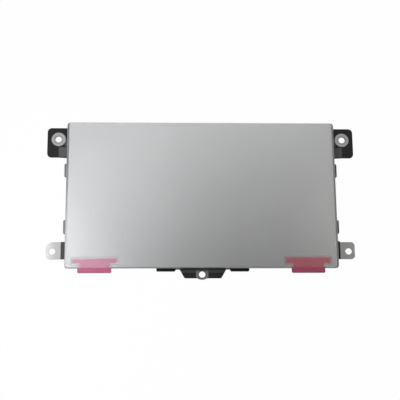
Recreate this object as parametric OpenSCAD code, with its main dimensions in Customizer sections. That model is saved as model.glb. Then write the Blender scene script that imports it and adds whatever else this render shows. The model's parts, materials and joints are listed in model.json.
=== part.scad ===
// Laptop trackpad module. A silver touch plate is bonded to a sensor board and a steel
// stiffener. Two leaf springs at the rear carry them on a black mounting frame, so the
// front edge clicks down on a switch. The module lies on the frame's lips with the touch
// surface up and its front edge towards -Y, and every length is in millimetres.

/* [Touch plate] */
// Width of the touch plate, side to side
plate_w = 106; // [100:1:116]
// Depth of the touch plate, front to rear
plate_d = 59; // [56:1:66]
// Thickness of the touch plate
plate_t = 0.7; // [0.6:0.05:1.1]
// Radius of the plate's corners in plan
plate_corner_r = 1.2; // [0.8:0.1:3]
// Height of the plate's rounded upper edge
plate_edge_h = 0.5; // [0.1:0.05:0.5]
// Width of that rounding along the plate's sides, seen from above
plate_side_round = 1.1; // [0.3:0.1:1.2]
// Width of that rounding along the plate's front and rear, seen from above
plate_end_round = 0.3; // [0.1:0.1:0.6]

/* [Protective film] */
// Thickness of the clear protective film
film_t = 0.1; // [0.08:0.01:0.2]
// Bare margin between the film and the edge of the touch plate
film_inset = 0.4; // [0.4:0.05:1]
// Thickness of one layer of pull tab tape
tab_t = 0.05; // [0.03:0.01:0.06]
// Distance of each pull tab from the centre line
tab_x = 41.2; // [34:0.1:42]
// Width of the tab strip under the film
tab_strip_w = 17.2; // [14:0.2:19]
// Depth of the tab strip under the film
tab_strip_d = 3.3; // [2:0.1:6]
// Distance of the tab strip from the plate's front edge
tab_strip_y = 0.9; // [0.6:0.1:2]
// Width of the folded grip that stands out in front
tab_grip_w = 13; // [8:0.2:13.5]
// Reach of the grip in front of the touch plate
tab_reach = 2; // [1:0.1:4]
// Corner radius of the grip
tab_grip_r = 0.5; // [0.2:0.1:0.9]

/* [Sensor board] */
// Thickness of the sensor board
board_t = 0.8; // [0.6:0.1:1.6]
// Inset of the sensor board from the plate's edge
board_inset = 0.1; // [0:0.05:0.6]
// Thickness of the adhesive between plate and board
plate_glue_t = 0.1; // [0.05:0.01:0.2]
// Thickness of the adhesive between board and stiffener
board_glue_t = 0.05; // [0.03:0.01:0.1]
// Inset of both adhesive sheets from the plate's edge
glue_inset = 0.9; // [0.8:0.1:2]

/* [Stiffener] */
// Thickness of the steel stiffener
stiff_t = 0.3; // [0.2:0.05:0.4]
// Inset of the stiffener from the plate's edge
stiff_inset = 0.2; // [0.1:0.05:0.6]
// Length of each side hook along the edge
hook_w = 5.2; // [4:0.1:8]
// Distance of the rear hooks behind the plate's centre
hook_rear_y = 10.2; // [6:0.2:11]
// Distance of the front hooks ahead of the plate's centre
hook_front_y = 12.8; // [8:0.2:14]
// Reach of the hooks beyond the touch plate's side
hook_out = 0.9; // [0.85:0.05:1.3]
// Overlap of the hook's toe under the frame's side rail
hook_catch = 1; // [0.5:0.1:1.6]
// Gap between the hook's toe and the rail, where the spring holds the plate up
hook_gap = 0.05; // [0.03:0.01:0.1]
// Inside bend radius of the hooks
hook_bend_r = 0.15; // [0.1:0.05:0.2]
// Chamfer at the outer corners of the hooks
hook_chamfer = 0.3; // [0.1:0.1:0.6]

/* [Mounting frame] */
// Thickness of the frame's sheet steel
frame_t = 0.4; // [0.3:0.05:0.5]
// Height of the bent lips that the frame stands on, up to its underside
lip_h = 0.65; // [0.6:0.05:1]
// Gap between the frame and the stiffener
click_gap = 0.65; // [0.6:0.05:0.8]
// Inset of the frame's side rails from the plate's side
rail_inset = 0.1; // [0:0.05:0.3]
// Width of the side rails
rail_w = 5; // [4:0.5:7]
// Inset of the frame's rear edge from the plate's rear edge
rear_inset = 1.5; // [1:0.1:2]
// Inset of the frame's front edge from the plate's front edge
front_inset = 0.5; // [0.3:0.1:1]
// Depth of the rear cross bar, without its lip
rear_bar_d = 9; // [8.5:0.5:11]
// Depth of the front cross bar
front_bar_d = 10; // [9:0.5:11]
// Distance of each web from the centre line
web_x = 16; // [15.5:0.5:19]
// Width of the two webs between the cross bars
web_w = 4; // [2:0.5:5]
// Corner radius of the frame's windows
window_r = 1.5; // [0.5:0.5:3]
// Inside bend radius of the lips
lip_bend_r = 0.2; // [0.1:0.05:0.25]
// Length of the middle rear lip
rear_lip_mid_l = 40; // [20:1:44]
// Length of the two outer rear lips
rear_lip_side_l = 19; // [10:1:20]
// Relief between the rear lips
rear_lip_relief = 8; // [2:0.5:8]
// Length of the stiffening bead in the rear cross bar
rear_bead_l = 40; // [20:1:42]
// Length of the two stiffening beads in the front cross bar
front_bead_l = 18; // [10:1:20]
// Distance of the front beads' middles from the centre line
front_bead_x = 19; // [17:0.5:20]
// Height of the stiffening beads pressed into the cross bars
bead_h = 0.2; // [0.1:0.05:0.25]
// Width of the stiffening beads
bead_w = 2.4; // [2:0.2:3]

/* [Screw ears] */
// Radius of every screw hole
screw_r = 1.25; // [1:0.05:1.4]
// Height of the coined bare rings around the holes in the frame
ring_h = 0.05; // [0.03:0.01:0.1]
// Radius of the bare rings on the rear ears
rear_ring_r = 2.8; // [2:0.1:2.8]
// Distance of the rear holes beyond the plate's side
rear_hole_out = 3.45; // [3.2:0.05:4]
// Distance of the rear holes ahead of the plate's rear edge
rear_hole_in = 6.55; // [6.2:0.05:6.6]
// Reach of the rear ears beyond the plate's side
rear_ear_out = 7.85; // [7:0.1:9]
// Distance of the rear ears' rear edge from the plate's rear edge
rear_ear_in = 1.85; // [1.5:0.1:3]
// Length of the rear ears along the plate's side
rear_ear_d = 12.2; // [12:0.1:13.5]
// Height of the rear ears above the frame
rear_ear_rise = 0.6; // [0.3:0.1:0.8]
// Length of the ramp that lifts the rear ears
rear_ramp_l = 3.05; // [2:0.05:3.2]
// Width of the ramp, along the plate's side
rear_ramp_w = 4.5; // [3:0.1:4.5]
// Gap between the touch plate's side and the raised rear ears
rear_ear_gap = 0.15; // [0.15:0.05:0.4]
// Gap between the touch plate's side and the foot of the ramp
ramp_gap = 0.2; // [0.1:0.05:0.4]
// Width of the slit between the ramp and the flat of a rear ear
ramp_slit = 0.1; // [0.08:0.01:0.3]
// Corner radius of the rear ears
rear_ear_r = 1.7; // [1:0.1:2]
// Distance of the front ears' holes beyond the plate's side
front_hole_out = 4.7; // [4:0.1:4.9]
// Distance of the front ears' holes behind the plate's front edge
front_hole_in = 7.15; // [6:0.05:8]
// Reach of the front ears beyond the plate's side
front_ear_out = 7.15; // [6.9:0.05:7.8]
// Width of the front ears
front_ear_w = 6.8; // [6:0.1:8]
// Offset of the front ears and their tongues to the left of the plate's middle
front_ear_offset = 0.3; // [0:0.05:0.4]
// Distance of the front ears' middle behind their holes
front_ear_shift = 0.3; // [0:0.05:0.5]
// Thickness of the front ears' plated steel
front_ear_t = 0.4; // [0.3:0.05:0.45]
// Length of the front ears' root under the frame
front_ear_root = 8; // [7:0.5:10]
// Spacing of the two rivets in the root of each front ear
ear_rivet_pitch = 3.2; // [2.6:0.1:4]
// Corner radius of the front ears
front_ear_r = 1.5; // [0.8:0.1:2]
// Radius of the left front ear's rear corner, which is rounder than the others
front_ear_bow_r = 2.7; // [1.5:0.1:3]
// Reach of the frame's tongue over each front ear
tongue_out = 1.4; // [0.8:0.05:1.6]
// Flare at the rear root of the right-hand tongue
tongue_flare = 0.8; // [0.2:0.1:1.2]

/* [Front tab] */
// Reach of the tab's screw hole in front of the plate
tab_hole_out = 2.1; // [1.8:0.1:2.4]
// Width of the coined bare pad around the tab's hole
tab_pad_w = 4.8; // [3.6:0.1:5.4]
// Reach of the coined pad in front of the hole
tab_pad_front = 2; // [1.8:0.05:2.2]
// Reach of the coined pad behind the hole
tab_pad_back = 1.65; // [1.5:0.05:1.9]
// Radius of the coined pad's bowed front edge
tab_pad_bow_r = 3.6; // [3:0.1:5]
// Offset of the tab and the front lips to the right of the tab's hole
nose_x = 0.3; // [0:0.05:0.5]
// Reach of the tab's straight front edge
nose_out = 3.55; // [3.2:0.05:3.8]
// Width of the tab at its root
nose_root_w = 18; // [16:0.5:18.4]
// Width of the tab at its front edge
nose_tip_w = 14.2; // [11:0.1:15]
// Corner radius at the tab's front edge
nose_corner_r = 0.5; // [0.2:0.1:1]
// Reach of the apron behind the tab and lips, in front of the plate
apron_out = 0.1; // [0:0.05:0.15]
// Reach of the front lips in front of the plate
front_lip_out = 0.75; // [0.75:0.05:1.2]
// Distance from the centre line to the inner end of each front lip
front_lip_x = 10.5; // [10:0.1:12]
// Length of each front lip
front_lip_l = 7.5; // [5:0.25:10]
// Chamfer at the inner end of each front lip
front_lip_chamfer = 0.5; // [0.2:0.1:0.6]
// Chamfer at the outer end of each front lip
front_lip_corner = 0.3; // [0.1:0.1:0.5]

/* [Leaf springs] */
// Thickness of the leaf springs
leaf_t = 0.15; // [0.1:0.01:0.2]
// Width of each leaf spring
leaf_w = 14; // [12:0.5:16]
// Distance of each leaf spring from the centre line
leaf_x = 34; // [31:0.5:36]
// Length of the flat foot at each end of a leaf
leaf_foot_l = 4.5; // [4:0.1:5]
// Length of the bending middle of a leaf
leaf_ramp_l = 4; // [3:0.1:4]
// Width of the cut-out in the middle of a leaf
leaf_cut_w = 7; // [3:0.5:8]
// Margin between that cut-out and the leaf's feet
leaf_cut_margin = 0.5; // [0.3:0.1:0.8]
// Distance of the leaf's rear end from the plate's rear edge
leaf_in = 2.5; // [2.4:0.1:3]
// Radius of the rivets' shanks
rivet_r = 0.6; // [0.5:0.05:0.8]
// Radius of the rivets' heads
rivet_head_r = 1.1; // [1:0.05:1.3]
// Height of the rivets' heads
rivet_head_h = 0.2; // [0.1:0.05:0.2]
// Spacing of the two rivets in each foot
rivet_pitch = 8; // [6:0.5:8.5]

/* [Click switch] */
// Distance of the switch behind the plate's front edge
switch_in = 4.5; // [4.5:0.1:5.5]
// Side of the square switch
switch_w = 4.6; // [4.4:0.1:5.4]
// Height of the switch's base
switch_base_h = 0.45; // [0.42:0.01:0.48]
// Depth of the pocket that holds the dome
switch_pocket_h = 0.36; // [0.34:0.01:0.36]
// Radius of the pocket that holds the dome
switch_pocket_r = 1.75; // [1.7:0.05:1.9]
// Thickness of the switch's sheet cover
switch_cover_t = 0.1; // [0.08:0.01:0.12]
// Radius of the plunger
plunger_r = 0.9; // [0.7:0.05:1]
// Radius of the plunger's retaining flange
plunger_flange_r = 1.4; // [1.25:0.05:1.5]
// Thickness of the plunger's retaining flange
plunger_flange_h = 0.1; // [0.08:0.01:0.11]
// Radius of the nib that presses the dome
nib_r = 0.4; // [0.3:0.05:0.6]
// Height of the nib that presses the dome
nib_h = 0.02; // [0.01:0.01:0.03]
// Chamfer at the plunger's tip
plunger_chamfer = 0.08; // [0.04:0.01:0.12]
// Thickness of the snap dome's metal
dome_t = 0.04; // [0.03:0.01:0.05]
// Thickness of the strike pad under the plunger
strike_t = 0.1; // [0.05:0.01:0.12]
// Radius of the strike pad
strike_r = 1.6; // [1.3:0.1:2]
// Gap between the plunger and the strike pad
strike_gap = 0.02; // [0.01:0.01:0.04]

/* [Cable connector] */
// Number of contacts
contacts = 12; // [6:1:12]
// Spacing of the contacts
contact_pitch = 0.5; // [0.4:0.05:0.5]
// Width of one contact
contact_w = 0.2; // [0.15:0.01:0.25]
// Thickness of one contact
contact_t = 0.1; // [0.08:0.01:0.12]
// Length of a contact's solder tail behind the connector
contact_tail_l = 0.6; // [0.4:0.1:0.8]
// Length of the housing beyond the last contact, at each end
conn_end = 1.9; // [1.7:0.1:2.2]
// Thickness of the housing's cheeks that carry the latch
conn_cheek = 0.75; // [0.7:0.05:0.9]
// Height of the connector below the board
conn_h = 1; // [0.95:0.05:1.1]
// Depth of the connector, from its mouth to its back
conn_d = 3.4; // [3.3:0.1:4]
// Distance of the connector to the right of the centre line
conn_x = 4.5; // [4:0.1:5]
// Distance of the connector behind the plate's centre
conn_y = 4; // [3:0.1:5]
// Wall of the housing below the slot for the flat cable
conn_slot_wall = 0.42; // [0.38:0.01:0.45]
// Depth of the slot for the flat cable
conn_slot_d = 2.2; // [1.6:0.1:2.3]
// Height of the slot for the flat cable
conn_slot_h = 0.35; // [0.3:0.01:0.38]
// Length of the latch from its pivot to its free edge
latch_l = 1.1; // [0.9:0.05:1.1]
// Thickness of the latch
latch_t = 0.4; // [0.35:0.01:0.44]
// Length of the latch's heel behind its pivot
latch_heel = 0.22; // [0.18:0.01:0.24]
// Radius of the latch's pivots
latch_pivot_r = 0.14; // [0.1:0.01:0.16]
// Length of the latch's pivots
latch_pivot_l = 0.5; // [0.3:0.05:0.55]

/* [Board parts] */
// Side of the square touch controller
chip_w = 7; // [5:0.5:7.4]
// Height of the touch controller
chip_h = 0.85; // [0.6:0.05:1]
// Distance of the touch controller to the left of the centre line
chip_x = 8; // [7.8:0.1:8.4]
// Distance of the touch controller behind the plate's centre
chip_y = 3; // [2:0.5:5]
// Chamfer around the touch controller's face
chip_chamfer = 0.08; // [0.04:0.01:0.12]
// Free margin around the touch controller in its window
chip_margin = 1.7; // [1.6:0.1:1.8]
// Distance of the voltage regulator to the right of the centre line
reg_x = 9; // [7:0.5:9.5]
// Distance of the voltage regulator ahead of the plate's centre
reg_y = 8; // [7:0.5:10]
// Length of the voltage regulator
reg_l = 2.9; // [2:0.1:3]
// Width of the voltage regulator
reg_w = 1.6; // [1.2:0.1:1.8]
// Height of the voltage regulator
reg_h = 0.9; // [0.6:0.05:1]
// Height of the small capacitors
cap_h = 0.5; // [0.3:0.05:0.6]
// Height of the chip resistors
res_h = 0.35; // [0.25:0.05:0.45]
// Length of the small capacitors and the resistors
small_l = 1; // [0.8:0.1:1.2]
// Width of the small capacitors and the resistors
small_w = 0.5; // [0.4:0.05:0.6]
// Spacing of the small parts in a row
small_pitch = 1.5; // [1.4:0.05:1.6]

/* [Dampers] */
// Thickness of the rubber dampers at the front corners
damper_t = 0.3; // [0.2:0.05:0.35]
// Length of the dampers
damper_l = 6; // [4:0.5:8]
// Width of the dampers
damper_w = 3; // [2:0.5:4]
// Distance of the dampers from the centre line
damper_x = 38; // [34:0.5:40]
// Corner radius of the dampers
damper_r = 0.5; // [0.2:0.1:0.8]

/* [Hidden] */
$fn = 48;
// Fits: pieces that rest against each other, rivets in their holes, pivots, and free sides
fit = 0.02;
rivet_fit = 0.05;
pivot_fit = 0.03;
side_fit = 0.1;
// Length by which a cut runs past the face that it opens
through = 1;

// Half sizes of the touch plate, and the steps of its rounded edge
plate_x = plate_w / 2;
plate_y = plate_d / 2;
edge_side = min(plate_side_round, plate_corner_r - fit);
edge_end = min(plate_end_round, plate_corner_r - fit);
edge_steps = 6;

// Heights above the surface that the lips stand on
frame_z = lip_h;
frame_top = frame_z + frame_t;
stiff_z = frame_top + click_gap;
stiff_top = stiff_z + stiff_t;
board_z = stiff_top + board_glue_t;
board_top = board_z + board_t;
plate_z = board_top + plate_glue_t;
plate_top = plate_z + plate_t;

// The plate's centre lies behind the origin, so the origin is the middle of the outline
front_reach = max(tab_hole_out + tab_pad_front, nose_out, tab_reach, front_lip_out);
pad_y = front_reach / 2;

// Frame plan
frame_x = plate_x - rail_inset;
lip_reach = lip_bend_r + frame_t;
frame_rear = plate_y - rear_inset - lip_reach;
frame_front = front_inset - plate_y;
window_rear = frame_rear - rear_bar_d;
window_front = frame_front + front_bar_d;
window_y = (window_rear + window_front) / 2;
rail_inner = frame_x - rail_w;
web_inner = web_x - web_w / 2;
web_outer = web_x + web_w / 2;
rear_lip_side_x = rear_lip_mid_l / 2 + rear_lip_relief;
front_lip_y = lip_reach - front_lip_out - plate_y;
front_lip_end = front_lip_x + front_lip_l;

// Rear ears
rear_hole = [plate_x + rear_hole_out, plate_y - rear_hole_in];
rear_ear_y1 = plate_y - rear_ear_in;
rear_ear_y0 = rear_ear_y1 - rear_ear_d;
rear_ear_x0 = plate_x + rear_ear_gap;
rear_ear_x1 = plate_x + rear_ear_out;
rear_ear_z = frame_z + rear_ear_rise;
ramp_x0 = plate_x + ramp_gap;
ramp_x1 = ramp_x0 + rear_ramp_l;
ramp_y1 = rear_ear_y0 + rear_ramp_w;

// Front ears and the tab's hole
front_hole = [plate_x + front_hole_out, front_hole_in - plate_y];
front_ear_y0 = front_hole.y + front_ear_shift - front_ear_w / 2;
front_ear_y1 = front_ear_y0 + front_ear_w;
front_ear_x1 = plate_x + front_ear_out;
front_ear_x0 = plate_x - front_ear_root;
front_ear_z = frame_z - front_ear_t;
front_ear_rivets = [for (end = [-0.5, 0.5]) (front_ear_x0 + frame_x) / 2 + end * ear_rivet_pitch];
tab_hole = [0, -plate_y - tab_hole_out];

// Leaf springs: rear foot on the frame, front foot under the stiffener
leaf_y3 = plate_y - leaf_in;
leaf_y2 = leaf_y3 - leaf_foot_l;
leaf_y1 = leaf_y2 - leaf_ramp_l;
leaf_y0 = leaf_y1 - leaf_foot_l;
leaf_rear_rivet_y = (leaf_y2 + leaf_y3) / 2;
leaf_front_rivet_y = (leaf_y0 + leaf_y1) / 2;
rivet_hole_r = rivet_r + rivet_fit;

// Click switch, hung under the board
switch_at = [0, switch_in - plate_y];
switch_base_z = board_z - switch_base_h;
switch_cover_z = switch_base_z - switch_cover_t;
plunger_z = frame_top + strike_t + strike_gap;
plunger_flange_z = switch_base_z + fit / 2;
plunger_flange_top = plunger_flange_z + plunger_flange_h;
nib_top = plunger_flange_top + nib_h;
dome_rim_z = switch_base_z + switch_pocket_h;
dome_crown_z = nib_top + fit / 4;
dome_rim_r = switch_pocket_r - side_fit;

// Cable connector, hung under the board
conn_w = (contacts - 1) * contact_pitch + 2 * conn_end;
conn_z = board_z - conn_h;
conn_mouth = conn_y + conn_d / 2;
conn_back = conn_y - conn_d / 2;
bay_x = conn_w / 2 - conn_cheek;
slot_x = conn_w / 2 - conn_end + contact_pitch;
slot_z = conn_z + conn_slot_wall;
slot_top = slot_z + conn_slot_h;
pivot_y = conn_back + latch_l + fit;
pivot_z = conn_z + latch_t / 2;
latch_sweep_r = norm([latch_heel, latch_t / 2]) + side_fit / 2;
latch_x = bay_x - side_fit;
contact_xs = [for (i = [0:contacts - 1]) conn_x + (i - (contacts - 1) / 2) * contact_pitch];

// Small parts around the chip, the regulator and the connector
chip_at = [-chip_x, chip_y];
reg_at = [reg_x, -reg_y];
reg_lead = [0.4, 0.4, 0.15];
mark_r = 0.35;
mark_depth = 0.06;
anchor = [0.7, 1.6, 0.12];
terminal = [0.6, 0.7, 0.1];
reg_cap_x = reg_l / 2 + small_l;
small_row_y = chip_w / 2 + chip_margin / 2;
res_row_y = conn_back - contact_tail_l - small_l;

// Windows in the stiffener: centre and size, with room for what is soldered beside each part
window_corner_r = 0.6;
solder_room = 0.5;
conn_room = [anchor.x + solder_room, contact_tail_l + 1.5 * small_l + solder_room];
switch_room = [terminal.x + solder_room, switch_cover_t + 2 * solder_room];
chip_window = [chip_at, [chip_w, chip_w] + 2 * [chip_margin, chip_margin]];
conn_window = [[conn_x, conn_y], [conn_w, conn_d] + 2 * conn_room];
reg_window = [reg_at, [reg_l, reg_w] + 4 * [small_l, small_l]];
switch_window = [switch_at, [switch_w, switch_w] + 2 * switch_room];
windows = [chip_window, conn_window, reg_window, switch_window];

// Plan and profile shapes

// Points along an arc, from angle a0 to a1
function arc(centre, r, a0, a1, steps = 6) =
    [for (i = [0:steps]) centre + r * [cos(a0 + (a1 - a0) * i / steps), sin(a0 + (a1 - a0) * i / steps)]];

// Rectangle of size w by d about the origin, with round corners
module round_rect(w, d, r) {
    square([w - 2 * r, d], center = true);
    square([w, d - 2 * r], center = true);
    for (x = [-1, 1], y = [-1, 1]) translate([x * (w / 2 - r), y * (d / 2 - r)]) circle(r);
}

// Rectangle between two corners
module span(x0, x1, y0, y1) {
    translate([x0, y0]) square([x1 - x0, y1 - y0]);
}

// Ear from x0 to x1, with its outer corners at y0 and y1 rounded by r0 and r1
module ear_plan(x0, x1, y0, y1, r0, r1) {
    span(x0, x1 - r0, y0, y1 - r1);
    span(x0, x1 - r1, y0 + r0, y1);
    span(x0, x1, y0 + r0, y1 - r1);
    translate([x1 - r0, y0 + r0]) circle(r0);
    translate([x1 - r1, y1 - r1]) circle(r1);
}

// Slot of length l and width w about the origin, with round ends
module slot_plan(l, w) {
    square([l - w, w], center = true);
    for (x = [w - l, l - w]) translate([x / 2, 0]) circle(w / 2);
}

// Quarter of a sheet bend of thickness t and inside radius r, about the origin
module bend(t, r) {
    intersection() {
        difference() {
            circle(r + t);
            circle(r);
        }
        square(r + t);
    }
}

// Profile in X and Z, drawn out along Y from y0 to y1
module draw_y(y0, y1) {
    translate([0, y1, 0]) rotate([90, 0, 0]) linear_extrude(y1 - y0) children();
}

// Profile in Y and Z, drawn out along X from x0 to x1
module draw_x(x0, x1) {
    translate([x0, 0, 0]) rotate([90, 0, 90]) linear_extrude(x1 - x0) children();
}

// Plan drawn up from z0 to z1
module draw_z(z0, z1) {
    translate([0, 0, z0]) linear_extrude(z1 - z0) children();
}

// The child and its mirror image on the left
module both_sides() {
    for (side = [0, 1]) mirror([side, 0, 0]) children();
}

// Moves a piece from the plate's centre to its place on the origin
module in_place() {
    translate([0, pad_y, 0]) children();
}

// Upright hole or peg from z0 to z1
module peg(at, r, z0, z1) {
    translate([at.x, at.y, z0]) cylinder(r = r, h = z1 - z0);
}

// Touch surface

// Post of height h at each corner of the plate, drawn in by the given widths
module corner_posts(in_x, in_y, h) {
    post = [plate_corner_r - in_x, plate_corner_r - in_y];
    for (x = [-1, 1], y = [-1, 1])
        translate([x * (plate_x - plate_corner_r), y * (plate_y - plate_corner_r), 0])
            linear_extrude(h) scale(post) circle(1, $fn = 32);
}

// Plate with a rounded upper edge, wider at the sides: one hull over stepped corner posts
module touch_plate() {
    color([0.72, 0.73, 0.74]) in_place() translate([0, 0, plate_z]) hull()
        for (i = [0:edge_steps]) {
            inset = 1 - cos(90 * i / edge_steps);
            top = plate_t - plate_edge_h * (1 - sin(90 * i / edge_steps));
            corner_posts(edge_side * inset, edge_end * inset, top);
        }
}

// Plan of one pull tab strip and of its grip, on the right-hand side
module tab_strip_plan(margin = 0) {
    y0 = tab_strip_y - plate_y;
    translate([tab_x, 0]) {
        span(-tab_strip_w / 2 - margin, tab_strip_w / 2 + margin, y0 - margin, y0 + tab_strip_d + margin);
        span(-tab_grip_w / 2 - margin, tab_grip_w / 2 + margin, film_inset - plate_y - fit, y0 + margin);
    }
}

module tab_grip_plan() {
    root = plate_y - film_inset + fit;
    translate([tab_x, 0]) rotate(-90)
        ear_plan(root, plate_y + tab_reach, -tab_grip_w / 2, tab_grip_w / 2, tab_grip_r, tab_grip_r);
}

// Film that lies over the touch plate, thinned where the tab strips are trapped under it
module protective_film() {
    color([0.86, 0.88, 0.9, 0.3]) in_place() difference() {
        draw_z(plate_top, plate_top + film_t)
            round_rect(plate_w - 2 * film_inset, plate_d - 2 * film_inset, plate_corner_r);
        both_sides() draw_z(plate_top - through, plate_top + tab_t) tab_strip_plan(side_fit);
    }
}

// Pull tab: one layer under the film, folded double where it stands out
module pull_tab() {
    draw_z(plate_top, plate_top + tab_t) tab_strip_plan();
    draw_z(plate_top, plate_top + 2 * tab_t) tab_grip_plan();
}

module pull_tab_left() {
    color([0.8, 0.4, 0.55]) in_place() mirror([1, 0, 0]) pull_tab();
}

module pull_tab_right() {
    color([0.8, 0.4, 0.55]) in_place() pull_tab();
}

// Board and stiffener

module plate_adhesive() {
    color([0.93, 0.93, 0.9]) in_place() draw_z(board_top, plate_z)
        round_rect(plate_w - 2 * glue_inset, plate_d - 2 * glue_inset, plate_corner_r);
}

module sensor_board() {
    color([0.05, 0.2, 0.12]) in_place() draw_z(board_z, board_top)
        round_rect(plate_w - 2 * board_inset, plate_d - 2 * board_inset, plate_corner_r);
}

// Window openings of the stiffener, grown by a margin
module window_plan(margin = 0) {
    for (w = windows)
        translate(w[0]) round_rect(w[1].x + 2 * margin, w[1].y + 2 * margin, window_corner_r);
}

module board_adhesive() {
    color([0.93, 0.93, 0.9]) in_place() draw_z(stiff_top, board_z) difference() {
        round_rect(plate_w - 2 * glue_inset, plate_d - 2 * glue_inset, plate_corner_r);
        window_plan(side_fit);
    }
}

// Side hook: a strip bent down past the frame's rail and in under it, with chamfered corners
module hook(y) {
    drop = stiff_top - frame_z + hook_gap + stiff_t;
    root = plate_x - stiff_inset - stiff_t;
    bend_h = stiff_t + hook_bend_r;
    outer = plate_x + hook_out;
    turn = outer - bend_h;
    toe = frame_x - hook_catch;
    half = hook_w / 2;
    intersection() {
        translate([0, 0, stiff_top]) draw_y(y - half, y + half) {
            span(root, turn, -stiff_t, 0);
            translate([turn, -bend_h]) bend(stiff_t, hook_bend_r);
            span(turn + hook_bend_r, outer, bend_h - drop, -bend_h);
            translate([turn, bend_h - drop]) mirror([0, 1]) bend(stiff_t, hook_bend_r);
            span(toe, turn, -drop, stiff_t - drop);
        }
        draw_z(0, stiff_top + through) polygon([
            [toe - through, y - half], [outer - hook_chamfer, y - half], [outer, y - half + hook_chamfer],
            [outer, y + half - hook_chamfer], [outer - hook_chamfer, y + half], [toe - through, y + half]]);
    }
}

// Places of the leaf rivets on both sides, at one Y
function leaf_rivets(y) = [for (side = [-1, 1], end = [-0.5, 0.5]) [side * leaf_x + end * rivet_pitch, y]];

module stiffener_plate() {
    color([0.62, 0.63, 0.64]) in_place() difference() {
        union() {
            draw_z(stiff_z, stiff_top)
                round_rect(plate_w - 2 * stiff_inset, plate_d - 2 * stiff_inset, plate_corner_r);
            both_sides() {
                hook(hook_rear_y);
                hook(-hook_front_y);
            }
        }
        draw_z(stiff_z - through, stiff_top + through) window_plan();
        for (at = leaf_rivets(leaf_front_rivet_y)) translate([at.x, at.y, stiff_z])
            cylinder(r1 = rivet_hole_r, r2 = rivet_head_r + rivet_fit, h = stiff_t);
    }
}

// Electronics under the board

// Part of size w by d by h hung under the board
module board_part(at, w, d, h) {
    translate([at.x - w / 2, at.y - d / 2, board_z - h]) cube([w, d, h]);
}

// Leadless chip with a chamfered face and a round mark at its first corner
module touch_controller() {
    face_z = board_z - chip_h;
    mark = [-1, 1] * (chip_w / 2 - 2 * mark_r);
    color([0.08, 0.08, 0.09]) in_place() translate([chip_at.x, chip_at.y, 0]) difference() {
        board_part([0, 0], chip_w, chip_w, chip_h);
        for (turn = [0:90:270]) rotate(turn) translate([chip_w / 2, 0, face_z]) rotate([0, 45, 0])
            cube([chip_chamfer * sqrt(2), chip_w + through, chip_chamfer * sqrt(2)], center = true);
        peg(mark, mark_r, face_z - through, face_z + mark_depth);
    }
}

// Moulded chip with three leads on each side
module voltage_regulator() {
    color([0.1, 0.1, 0.11]) in_place() translate([reg_at.x, reg_at.y, 0]) {
        translate([0, 0, -reg_lead.z / 2]) board_part([0, 0], reg_l, reg_w, reg_h - reg_lead.z / 2);
        for (i = [-1:1], side = [-1, 1])
            board_part([i * reg_l / 3, side * reg_w / 2], reg_lead.x, 2 * reg_lead.y, reg_lead.z);
    }
}

// Capacitors in a row on two sides of the chip, and a large one at each end of the regulator
module board_capacitors() {
    color([0.55, 0.42, 0.3]) in_place() {
        for (i = [-2:2], side = [-1, 1])
            board_part(chip_at + [i * small_pitch, side * small_row_y], small_l, small_w, cap_h);
        for (side = [-1, 1])
            board_part(reg_at + [side * reg_cap_x, 0], small_w, 2 * small_l, cap_h);
    }
}

module board_resistors() {
    color([0.12, 0.12, 0.14]) in_place() for (i = [-2.5:2.5])
        board_part([conn_x + i * small_pitch, res_row_y], small_l, small_w, res_h);
}

// Cable connector

// Tube or pin along X, about the latch's pivot
module pivot(x, r) {
    translate([conn_x - x, pivot_y, pivot_z]) rotate([0, 90, 0]) cylinder(r = r, h = 2 * x);
}

// Block that spans the connector's middle by x to each side
module conn_block(x, y0, y1, z0, z1) {
    translate([conn_x - x, y0, z0]) cube([2 * x, y1 - y0, z1 - z0]);
}

// Housing with a slot for the flat cable at the rear and a bay for the latch at the front
module connector_housing() {
    bay_top = pivot_z + latch_sweep_r;
    color([0.9, 0.87, 0.78]) in_place() difference() {
        conn_block(conn_w / 2, conn_back, conn_mouth, conn_z, board_z);
        conn_block(slot_x, conn_mouth - conn_slot_d, conn_mouth + through, slot_z, slot_top);
        conn_block(bay_x, conn_back - through, pivot_y, conn_z - through, bay_top);
        conn_block(bay_x, pivot_y, pivot_y + latch_sweep_r, conn_z - through, pivot_z);
        pivot(bay_x, latch_sweep_r);
        pivot(bay_x + latch_pivot_l, latch_pivot_r + pivot_fit);
        for (x = contact_xs) translate([x - conn_x, 0, 0])
            conn_block(contact_w / 2 + fit, conn_back - through, conn_mouth - contact_pitch,
                       slot_top - fit, board_z + through);
    }
}

// Latch: a flat bar that turns on two pivots in the housing's cheeks
module connector_latch() {
    color([0.2, 0.2, 0.22]) in_place() {
        conn_block(latch_x, pivot_y - latch_l, pivot_y + latch_heel, conn_z, conn_z + latch_t);
        pivot(latch_x + latch_pivot_l, latch_pivot_r);
    }
}

// Contact: solder tail at the back, beam in the housing's groove, and a point in the slot
module connector_contacts() {
    beam_z = board_z - 2 * contact_t;
    beam_y = conn_back + conn_cheek;
    tip_y = conn_mouth - 2 * contact_pitch;
    color([0.85, 0.72, 0.4]) in_place() for (x = contact_xs)
        draw_x(x - contact_w / 2, x + contact_w / 2) {
            span(conn_back - contact_tail_l, beam_y, board_z - contact_t, board_z);
            span(beam_y - contact_w, beam_y, beam_z, board_z);
            span(beam_y - contact_w, tip_y, beam_z, beam_z + contact_t);
            span(tip_y - contact_w, tip_y, slot_top - contact_t / 2, beam_z + contact_t);
        }
}

// Hold-down tabs soldered to the board at the connector's ends
module connector_anchors() {
    color([0.75, 0.75, 0.74]) in_place() for (side = [-1, 1])
        translate([conn_x + side * (conn_w + anchor.x) / 2, conn_y, 0]) {
            board_part([0, 0], anchor.x, anchor.y, anchor.z);
            board_part([side * (anchor.z - anchor.x) / 2, 0], anchor.z, anchor.y, conn_h / 2);
        }
}

// Click switch

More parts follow.
